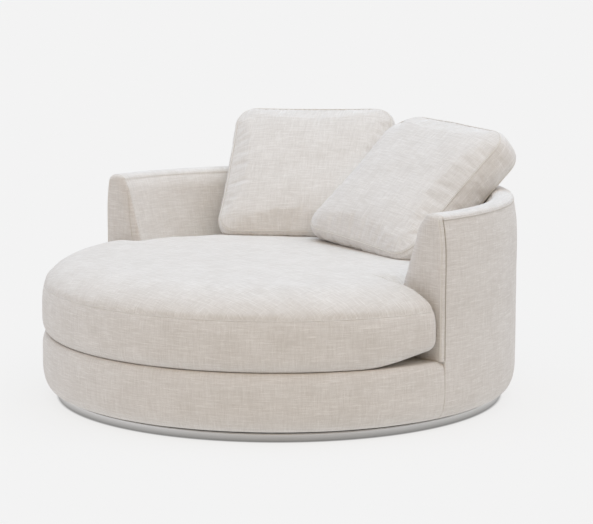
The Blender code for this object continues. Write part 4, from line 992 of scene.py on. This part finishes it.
def make_seat_cushion():
    points, climb = cushion_outline()
    columns = len(points)
    outward = loop_outward(points)
    run = run_along(np.vstack([points, points[:1]]))
    seam = CUSHION_FRONT_SEAM + (CUSHION_REAR_SEAM - CUSHION_FRONT_SEAM) * climb
    sides = cushion_sides(points, outward, seam, climb)

    rho, around = square_to_outline(columns)
    centre = np.array([0, -CUSHION_CENTRE_DEPTH])
    edge_xy = around(sides[-1, :, :2])
    edge_seam = around(seam)[..., 0]
    xy = centre + (edge_xy - centre) * rho[..., None]
    beside_arm = 1 - ease((points[:, 1] + CUSHION_FREE_START) / CUSHION_FREE_REACH)
    stiffness = 1 + CUSHION_ARM_STIFFNESS * beside_arm * ease(climb * 2)
    away = np.linalg.norm(xy[:, :, None, :] - sides[-1, None, None, :, :2], axis=-1)
    away = (away * stiffness).min(-1)
    away[rho >= 1 - 1e-9] = 0
    inner = np.clip(away / CUSHION_ROLL_REACH, 0, 1)
    roll = (1 - (1 - inner) ** CUSHION_ROLL_BEND) ** CUSHION_ROLL_POWER
    dome = 1 - (1 - np.clip(away / CUSHION_DOME_REACH, 0, 1)) ** 2
    fullness = roll * (1 - CUSHION_DOME_SHARE) + dome * CUSHION_DOME_SHARE
    z = smoothed(edge_seam + (CUSHION_CROWN_LEVEL - edge_seam) * smoothed(fullness, 6), 4)
    top = np.concatenate([xy, z[..., None]], -1)
    uneven = CUSHION_TOP_SWELL * rough(top, 5, 1.2) + CUSHION_TOP_DIMPLES * rough(top, 14, 6.1)
    top[..., 2] += np.minimum(uneven, CUSHION_TOP_LIMIT) * ease(away / CUSHION_EVEN_EDGE)
    near_edge = np.exp(-away / CUSHION_GATHER_REACH)
    gather = np.minimum(CUSHION_TOP_GATHER * near_edge * rough(top * (1, 1, 0.5), 42, 3.3), 0)
    top[..., 2] += gather * ease(away / CUSHION_EVEN_SEAM)
    low_xy = around(sides[0, :, :2])
    under_xy = centre + (low_xy - centre) * rho[..., None]
    lifted = around(sides[0, :, 2])[..., 0] - CUSHION_BOTTOM
    under_z = CUSHION_BOTTOM + lifted * ease(1 - away / CUSHION_UNDER_REACH)
    under = np.concatenate([under_xy, under_z[..., None]], -1)

    skin = Skin()
    skin.grid(sides, joined(run, np.hstack([sides[..., 2], sides[:, :1, 2]])), wrap=True)
    spare = CUSHION_ROLL_SPARE * np.clip(1 - away / CUSHION_ROLL_SPARE_REACH, 0, 1) ** 2
    outwards = xy / np.maximum(np.linalg.norm(xy, axis=-1), 1e-6)[..., None]
    skin.grid(top, xy + outwards * spare[..., None])
    skin.grid(under, under[..., :2])
    seat = skin.build("seat_cushion_skin", merge=1e-5)
    finish_piece(seat, CLOTH, "seat_cushion", ["seat_cushion_cover", "seat_cushion_core"])
    cord = sides[-1] + joined(*outward.T, 0) * SEAM_PROUD
    tube("seat_top_seam", cord, SEAT_SEAM_RADIUS, CLOTH, "seat_cushion", closed=True)
    return seat


# Back pillows

PILLOW_GRID = 84
PILLOW_CROWN = 0.0445
PILLOW_CORNER_ROUND = 0.0720
PILLOW_SOFT_CORNERS = {"pillow_left": {(1, -1): 0.0950}, "pillow_right": {(-1, 1): 0.1250, (1, 1): 0.0740}}
PILLOW_SAG = {"pillow_left": 0.0, "pillow_right": 0.060}     # of the upper corner on the left
PILLOW_PULL = 0.020
PILLOW_FACE_POWER = 2.8
PILLOW_ROLL_POWER = 0.62
PILLOW_BOXING_ROWS = 12
PILLOW_BOXING_SWELL = 0.0105
PILLOW_LUMPS = 0.0022
BOXING_CLOTH_PLACE = 0.4      # where the boxing lies on the cloth, beside the faces
CLOTH_SPARE = -0.020          # a cover larger than its form
PILLOW_PRESSURE = 4.0
PILLOW_MOVE_LIMIT = 0.0090
PILLOW_REST_GAP = 0.0006
PILLOW_STITCH_INSET = 0.0030


def pillow_frame(name):
    turn_angle, lean, roll = PILLOW_TURNS[name]
    turn_matrix = Matrix.Rotation(math.radians(turn_angle), 4, "Z")
    chord = math.sqrt(INNER_RADIUS_TOP ** 2 - (PILLOW_WIDTH / 2) ** 2)
    centre = turn_matrix @ Vector((PILLOW_WIDTH * PILLOW_SIDE_SHARES[name], chord - PILLOW_SETBACKS[name], 0))
    centre.z = STRIP_LEVEL + PILLOW_RISES[name]
    lean_matrix = Matrix.Rotation(-math.radians(lean), 4, "X")
    roll_matrix = Matrix.Rotation(math.radians(roll), 4, "Y")
    return Matrix.Translation(centre) @ turn_matrix @ lean_matrix @ roll_matrix


def pillow_plan(a, b, soft_corners):
    """Bends a square grid to the pillow's outline: rounded corners, sides pulled in between them."""
    half_w, half_h = PILLOW_SPREAD / 2, PILLOW_RISE / 2
    x, z = a * half_w, b * half_h
    corner = np.full(a.shape, PILLOW_CORNER_ROUND)
    for (side, height), radius in soft_corners.items():
        corner[(np.sign(a) == side) & (np.sign(b) == height)] = radius
    limit_x, limit_z = half_w - corner, half_h - corner
    over = np.hypot(np.clip(np.abs(x) - limit_x, 0, None), np.clip(np.abs(z) - limit_z, 0, None))
    both = (np.abs(x) > limit_x) & (np.abs(z) > limit_z)
    reach = np.maximum(np.abs(x) - limit_x, np.abs(z) - limit_z)
    squeeze = np.where(both, reach / np.maximum(over, 1e-9), 1)
    x = np.where(both, np.sign(x) * (limit_x + (np.abs(x) - limit_x) * squeeze), x)
    z = np.where(both, np.sign(z) * (limit_z + (np.abs(z) - limit_z) * squeeze), z)
    return x * (1 - PILLOW_PULL * (1 - b * b)), z * (1 - PILLOW_PULL * (1 - a * a))


def pillow_mesh(name):
    """A boxed pillow in its own frame, front towards -Y, and the rings of its two seams."""
    fullness = PILLOW_BACK_FULLNESS[name]
    ticks = np.linspace(-1, 1, PILLOW_GRID + 1)
    ticks = np.sin(ticks * math.pi / 2) * 0.5 + ticks * 0.5
    a, b = np.meshgrid(ticks, ticks)
    x, z = pillow_plan(a, b, PILLOW_SOFT_CORNERS[name])
    z = z * (1 - PILLOW_SAG[name] * np.clip(-a, 0, 1) * np.clip(b, 0, 1))
    rise = PILLOW_CROWN * ((1 - np.abs(a) ** PILLOW_FACE_POWER) * (1 - np.abs(b) ** PILLOW_FACE_POWER)
                           ) ** PILLOW_ROLL_POWER
    deeper = fullness * np.sin(np.clip((1 + b) / 2 / PILLOW_BACK_RAMP_SHARE, 0, 1) * math.pi / 2)
    lumps = PILLOW_LUMPS * rough(joined(x, 0, z), 7, 3.0 + fullness * 100)
    lumps *= ease(rise / PILLOW_CROWN * 1.6)
    skin = Skin()
    faces = {-1: joined(x, -(PILLOW_EDGE / 2 + rise + lumps), z),
             1: joined(x, PILLOW_EDGE / 2 + rise + deeper, z)}
    for grid in faces.values():
        skin.grid(grid, joined(x, z))
    n = PILLOW_GRID
    loop = [(0, j) for j in range(n)] + [(i, n) for i in range(n)]
    loop += [(n, j) for j in range(n, 0, -1)] + [(i, 0) for i in range(n, 0, -1)]
    rows, cols = np.array(loop).T
    front, back = faces[-1][rows, cols], faces[1][rows, cols]
    outward = np.insert(loop_outward(front[:, [0, 2]]), 1, 0, axis=1)
    run = run_along(np.vstack([front, front[:1]]))
    share = np.linspace(0, 1, PILLOW_BOXING_ROWS + 1)[:, None, None]
    swell = PILLOW_BOXING_SWELL * np.sqrt(np.clip(1 - (2 * share - 1) ** 2, 0, 1))
    boxing = front + (back - front) * share + outward * swell
    skin.grid(boxing, joined(run, share[..., 0] * PILLOW_EDGE + BOXING_CLOTH_PLACE), wrap=True)
    return skin.build(f"{name}_skin", merge=1e-5), front, back


def make_pillow(name, seat, leant_on=None):
    """A pillow on the seat and the rim; the one that leans on another pillow is dented by it."""
    obj, front, back = pillow_mesh(name)
    seams = nearest_vertices(obj, np.vstack([front, back]))
    inflate(obj, seams, CLOTH_SPARE, PILLOW_PRESSURE, PILLOW_MOVE_LIMIT)
    place = pillow_frame(name)
    obj.data.transform(place)
    gaps = np.full(len(obj.data.vertices), PILLOW_REST_GAP)
    gaps[seams] = PILLOW_REST_GAP + SEAM_PROUD + SEAM_RADIUS
    rim = np.vstack([inner_face(), [strip_point(angle) for angle in np.linspace(180, 0, 61)][1:]])
    points = laid_on(pressed_off(coordinates(obj), rim, gaps), seat, gaps)
    if leant_on:
        forward = pillow_frame(leant_on.name.removesuffix("_skin")).to_3x3() @ Vector((0, -1, 0))
        points = laid_on(points, leant_on, gaps, forward)
    set_coordinates(obj, points)
    finish_piece(obj, PAINTED_LIGHTER_CLOTH, name, [f"{name}_cover", f"{name}_filling"])
    count = len(front)
    for path, depth, word in ((points[seams[:count]], front[0, 1], "front"),
                              (points[seams[count:]], back[0, 1], "back")):
        outward = unit(path - np.array(place @ Vector((0, depth, 0))))
        tube(f"{name}_{word}_seam", path + outward * SEAM_PROUD, SEAM_RADIUS, SEAM_THREAD, name,
             closed=True)
        if word == "front":
            # painted shade: a darker thread beside the front seam, in place of the shade of its crease
            beside = pressed_on(obj, path - outward * PILLOW_STITCH_INSET)
            tube(f"{name}_stitches", beside, FINE_STITCH_RADIUS, FINE_SHADE_THREAD, name,
                 closed=True)
    return obj


# Welts, seams and small parts

def tube(name, path, radius, material, body="chair", closed=False, sides=8):
    """A thin round cord of cloth along a path."""
    path = np.asarray(path, float)
    if closed:
        along = unit(np.roll(path, -1, 0) - np.roll(path, 1, 0))
    else:
        along = unit(np.gradient(path, axis=0))
    up = np.zeros_like(along)
    guide = np.array([0.0, 0.0, 1.0]) if abs(along[0, 2]) < 0.9 else np.array([0.0, 1.0, 0.0])
    for i, direction in enumerate(along):
        guide = guide - direction * np.dot(guide, direction)
        guide /= np.linalg.norm(guide)
        up[i] = guide
    beside = np.cross(along, up)
    turns = np.linspace(0, 2 * math.pi, sides, endpoint=False)
    ring = path[:, None] + radius * (up[:, None] * np.cos(turns)[None, :, None]
                                     + beside[:, None] * np.sin(turns)[None, :, None])
    around = np.linspace(0, 2 * math.pi * radius, sides + 1)
    if closed:
        ring = np.concatenate([ring, ring[:1]])
        path = np.vstack([path, path[:1]])
    skin = Skin()
    index = skin.grid(ring, joined(run_along(path)[:, None], around), wrap=True)
    if not closed:
        for row in (0, -1):
            skin.cap(index[row, :-1], [(0, k * radius) for k in range(sides)])
    obj = skin.build(name)
    return finish_piece(obj, material, body)


def make_rim_seam():
    """Welt and stitches of the strip's outer seam, round the back from arm to arm; the stitches' darker
    thread is painted shade of the seam's crease.
    """
    for word, (out, up), cord, thread in (("welt", WELT_OFFSET, WELT_RADIUS, CLOTH),
                                          ("stitches", STITCH_OFFSET, FINE_STITCH_RADIUS, FINE_SHADE_THREAD)):
        radius = OVERALL_RADIUS - SHOULDER_INSET + out
        half = math.acos(-SHELL_FRONT_DEPTH / radius)
        turns = np.linspace(-half, half, 260)
        path = joined(radius * np.sin(turns), radius * np.cos(turns), STRIP_LEVEL + up)
        tube(f"strip_outer_{word}", path, cord, thread)


def make_arm_seams(side, word):
    """The felled edge down the arm's outer corner, with its stitches on the outer side; their dark thread is
    painted shade of the seam's crease.
    """
    levels = np.linspace(SEAT_LEVEL + ARM_SEAM_ENDS[0], STRIP_LEVEL + ARM_SEAM_ENDS[1], 60)
    _, radius = arm_edges(levels)

    def down(depth, inset):
        return joined(side * (np.sqrt(radius ** 2 - depth ** 2) - inset), -depth, levels)

    welt = down(ARM_FRONT_DEPTH - ARM_WELT_SUNK, ARM_WELT_INSET)
    tube(f"arm_welt_{word}", welt, WELT_RADIUS, SEAM_THREAD)
    stitches = down((ARM_BACK_DEPTH + SHELL_FRONT_DEPTH) / 2 + ARM_STITCH_SHIFT, -THREAD_LIFT)
    tube(f"arm_stitches_{word}", stitches, ARM_STITCH_RADIUS, DARK_SHADE_THREAD)


def make_inner_arm_seam(arm):
    """The stitched line near the inner edge of the left arm's front; its darker thread is painted shade along
    the seam.
    """
    start, end = np.array(INNER_SEAM_ENDS)
    origins = start + (end - start) * np.linspace(0, 1, 40)[:, None]
    path, normals = on_skin(arm, origins, [(0, 1, 0)] * len(origins))
    tube("arm_inner_stitches_left", path + normals * THREAD_LIFT, FINE_STITCH_RADIUS, FINE_SHADE_THREAD)


# Zips

ZIP_LIP_HALF_WIDTH = 0.0018
ZIP_LIP_HEIGHTS = (-0.0006, 0.0007)     # under and over the cover
ZIP_SLIT = 0.0022            # from the middle of the zip to the middle of each lip
ZIP_TOOTH_STEP = 0.0014
ZIP_TOOTH_REACH = 0.0011
ZIP_TOOTH_RADIUS = 0.0004
ZIP_END = 0.0020
ZIP_SLIDER = ((0.011, 0.002, 0.0030, 0.0002, 0.0022),    # its body: start and end before the zip's end,
              (0.026, 0.007, 0.0015, 0.0023, 0.0031))    # half width, heights; then the same of its pull
RIBBON_EDGE_CLOTH = 0.0010   # cloth that runs round a thin strip's edge
PILLOW_ZIP_HALF_LENGTH = 0.1590
SEAT_ZIP_HALF_ANGLE = 25.8
SEAT_ZIP_LEVEL = 0.2950
SEAT_ZIP_OUTSIDE = 0.75      # the zips' places are sought from outside the covers, from this radius
PILLOW_ZIP_OUTSIDE = -0.4    # and from this height in the pillow's own frame


def ribbon(skin, path, normals, shift, half_width, low, high):
    """Adds a flat closed strip along a path to a skin; shift moves it sideways."""
    beside = np.cross(unit(np.gradient(path, axis=0)), normals)
    left, right = shift - half_width, shift + half_width
    ring = np.stack([path + beside * out + normals * up
                     for out, up in ((left, low), (right, low), (right, high), (left, high))], 1)
    width, turn = 2 * half_width, RIBBON_EDGE_CLOTH
    around = np.array([0, width, width + turn, 2 * width, 2 * width + turn])
    index = skin.grid(ring, joined(run_along(path)[:, None], around), wrap=True)
    for row in (0, -1):
        skin.cap(index[row, :-1], [(0, 0), (half_width, 0), (half_width, turn), (0, turn)])


def make_zip(name, skin, origins, directions, body):
    """A concealed zip: two cloth lips that nearly meet, a row of teeth between them and a slider."""
    path, normals = on_skin(skin, origins, directions)
    lips = Skin()
    for side in (-1, 1):
        ribbon(lips, path, normals, side * ZIP_SLIT, ZIP_LIP_HALF_WIDTH, *ZIP_LIP_HEIGHTS)
    finish_piece(lips.build(f"{name}_lips"), CLOTH, body, [name])

    run = run_along(path)
    stations = np.arange(ZIP_END, run[-1] - ZIP_END, ZIP_TOOTH_STEP)
    middle, upward = [np.stack([np.interp(stations, run, values[:, k]) for k in range(3)], 1)
                      for values in (path, normals)]
    beside = unit(np.cross(np.gradient(middle, axis=0), upward))
    turn = np.where(np.arange(len(stations)) % 2, 1, -1)[:, None]
    coil = middle + beside * turn * ZIP_TOOTH_REACH + upward * THREAD_LIFT
    tube(f"{name}_teeth", coil, ZIP_TOOTH_RADIUS, TAPE_CLOTH, body, sides=5)

    slider = Skin()
    for start, end, half_width, low, high in ZIP_SLIDER:
        reach = (stations > stations[-1] - start) & (stations < stations[-1] - end)
        ribbon(slider, middle[reach], upward[reach], 0.0, half_width, low, high)
    puller = slider.build(f"{name}_slider")
    sharpen(puller)
    finish_piece(puller, ZINC, body)


def make_zips(seat, pillows):
    turns = np.radians(np.linspace(-SEAT_ZIP_HALF_ANGLE, SEAT_ZIP_HALF_ANGLE, 90))
    outward = joined(np.sin(turns), np.cos(turns), 0)
    origins = outward * SEAT_ZIP_OUTSIDE + (0, 0, SEAT_ZIP_LEVEL)
    make_zip("seat_cushion_zip", seat, origins, -outward, "seat_cushion")
    for name, pillow in pillows.items():
        place = pillow_frame(name)
        upward = place.to_3x3() @ Vector((0, 0, 1))
        spots = np.linspace(-PILLOW_ZIP_HALF_LENGTH, PILLOW_ZIP_HALF_LENGTH, 70)
        origins = [place @ Vector((x, 0, PILLOW_ZIP_OUTSIDE)) for x in spots]
        make_zip(f"{name}_zip", pillow, origins, [upward] * len(origins), name)


# Plinth ring

RING_STEPS = 256
RING_WALL = 0.0020
RING_FLANGE = 0.0180
RING_FLANGE_THICKNESS = 0.0015
RING_BEND = 0.0034
RING_FOOT_CHAMFER = 0.0006


def make_plinth_ring():
    """The steel ring, its upper edge rolled inwards to a flange."""
    wall, flange_in = TRIM_RADIUS - RING_WALL, TRIM_RADIUS - RING_FLANGE
    below = TRIM_TOP - RING_FLANGE_THICKNESS
    profile = [(flange_in, TRIM_TOP)]
    for turn in np.linspace(0, math.pi / 2, 9):
        profile.append((TRIM_RADIUS - RING_BEND * (1 - math.sin(turn)),
                        TRIM_TOP - RING_BEND * (1 - math.cos(turn))))
    profile += [(TRIM_RADIUS, TRIM_BOTTOM + RING_FOOT_CHAMFER),
                (TRIM_RADIUS - RING_FOOT_CHAMFER, TRIM_BOTTOM),
                (wall, TRIM_BOTTOM), (wall, below), (flange_in, below)]
    profile = np.array(profile + profile[:1])
    u = np.linspace(0, 2 * math.pi * TRIM_RADIUS, RING_STEPS + 1)
    skin = Skin()
    skin.grid(turned_round(profile, RING_STEPS), joined(u, profile[:, 1:]), wrap=True)
    ring = skin.build("plinth_ring_steel")
    finish_piece(ring, RING_STEEL, "plinth", ["plinth_trim_ring"])
    sharpen(ring)


# Deck under the cushion

DECK_EDGE_ROUND = 0.0050
DECK_SAG = 0.0004
DECK_RECESS_RADIUS = 0.6650
DECK_RECESS_RISE = 0.0049     # above the deck ring, over the webbing
AXIS_RADIUS = 0.0010
DECK_FIRST_RADIUS = 0.0500
DECK_STEPS = 128
DECK_CORNER = 60


def make_deck_skin():
    low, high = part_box("deck_pad")
    top, edge, recess = high.z - DECK_SAG, DECK_EDGE_ROUND, DECK_RING_TOP + DECK_RECESS_RISE
    flat = DECK_PAD_RADIUS - edge
    profile = [(AXIS_RADIUS, top)] + [(r, top) for r in np.linspace(DECK_FIRST_RADIUS, flat, 16)]
    for turn in np.linspace(0, math.pi / 2, 7)[1:]:
        profile.append((flat + edge * math.sin(turn), top - edge * (1 - math.cos(turn))))
    profile += [(DECK_PAD_RADIUS, low.z), (DECK_RECESS_RADIUS, low.z), (DECK_RECESS_RADIUS, recess),
                (AXIS_RADIUS, recess)]
    points = turned_round(np.array(profile), DECK_STEPS)
    wrapped = np.concatenate([points, points[:, :1]], 1)
    skin = Skin()
    index = skin.grid(points, wrapped[..., :2], wrap=True)
    for row in (0, -1):
        skin.cap(index[row, :-1], points[row, :, :2])
    deck = skin.build("deck_pad_skin")
    sharpen(deck, DECK_CORNER)
    finish_piece(deck, DECK_CLOTH, "chair", ["deck_pad"])


# Stage: floor, light and camera

CAMERA_PLACE = (4.763, -4.779, 1.506)
CAMERA_PITCH = 9.09
CAMERA_TURN = 44.42
LENS = 126.33
FLOOR_HALF = 60.0
FLOOR_GLOW = (0.7875, 0.7837, 0.7789, 1)
PAPER_TONES = ((0.099, 0.099, 0.099), (0.101, 0.101, 0.101))
CONTACT_SHADOW_START = -0.0040    # from the plinth ring's outside
CONTACT_SHADOW_REACH = 0.0090
CONTACT_GLOW = 0.40
SOFT_LIGHTS = (
    ((0, 0, 1), 8, (2.020, 2.530, 3.020)),              # overhead
    ((0.71, 0.70, 1.10), 5, (1.364, 1.339, 1.409)),     # high on the right
    ((0.70, -0.71, 1.10), 5, (0.817, 0.505, 0.168)),    # high in front
    ((-0.71, -0.70, 0.30), 3, (0.924, 0.909, 0.976)),   # from the left
    ((-0.70, 0.71, 0.30), 3, (0.600, 0.600, 0.600)),    # from behind
)


def make_stage():
    mesh = bpy.data.meshes.new("studio_floor")
    corners = [(-FLOOR_HALF, -FLOOR_HALF, 0), (FLOOR_HALF, -FLOOR_HALF, 0), (FLOOR_HALF, FLOOR_HALF, 0),
               (-FLOOR_HALF, FLOOR_HALF, 0)]
    mesh.from_pydata(corners, [], [(0, 1, 2, 3)])
    floor = bpy.data.objects.new("studio_floor", mesh)
    bpy.context.scene.collection.objects.link(floor)
    n = paint("studio_paper")
    place = n.place()
    paper = n.blend(n.noise(place, 3.0), *PAPER_TONES)
    away = n.add("ShaderNodeVectorMath", operation="LENGTH")
    n.plug(place, away.inputs[0])
    glow = n.span(away.outputs["Value"], TRIM_RADIUS + CONTACT_SHADOW_START,
                  TRIM_RADIUS + CONTACT_SHADOW_REACH, CONTACT_GLOW, 1.0)
    n.plug(glow, n.tree.nodes["Principled BSDF"].inputs["Emission Strength"])
    mesh.materials.append(n.finish(paper, Roughness=1.0, Specular_IOR_Level=0.0, Emission_Color=FLOOR_GLOW))


def light_studio():
    """A white room of broad soft lights, each a direction, its narrowness and its colour."""
    world = bpy.data.worlds.new("studio_light")
    bpy.context.scene.world = world
    n = Nodes(world)
    n.tree.nodes.clear()
    where = n.add("ShaderNodeTexCoord").outputs["Generated"]
    total = None
    for direction, narrowness, colour in SOFT_LIGHTS:
        facing = n.add("ShaderNodeVectorMath", operation="DOT_PRODUCT")
        n.plug(where, facing.inputs[0])
        n.plug(Vector(direction).normalized(), facing.inputs[1])
        ahead = n.math("MAXIMUM", facing.outputs["Value"], 0.0)
        light = n.made("ShaderNodeBackground", ((*colour, 1), n.math("POWER", ahead, narrowness)))
        total = n.made("ShaderNodeAddShader", (total, light)) if total else light
    n.plug(total, n.add("ShaderNodeOutputWorld").inputs["Surface"])


def place_camera():
    lens = bpy.data.cameras.new("camera")
    lens.lens = LENS
    lens.sensor_width = 36
    lens.clip_end = 200
    camera = bpy.data.objects.new("camera", lens)
    camera.location = CAMERA_PLACE
    camera.rotation_euler = (math.radians(90 - CAMERA_PITCH), 0, math.radians(CAMERA_TURN))
    bpy.context.scene.collection.objects.link(camera)
    bpy.context.scene.camera = camera
    bpy.context.scene.view_settings.view_transform = "Standard"
    bpy.context.scene.view_settings.look = "None"


dress_frame()
make_shell()
make_drum()
ARMS = {word: make_arm_front(side, word) for side, word in ((-1, "left"), (1, "right"))}
SEAT = make_seat_cushion()
PILLOWS = {"pillow_left": make_pillow("pillow_left", SEAT)}
PILLOWS["pillow_right"] = make_pillow("pillow_right", SEAT, PILLOWS["pillow_left"])
make_zips(SEAT, PILLOWS)
make_rim_seam()
make_arm_seams(-1, "left")
make_arm_seams(1, "right")
make_inner_arm_seam(ARMS["left"])
make_plinth_ring()
make_deck_skin()
make_stage()
light_studio()
place_camera()
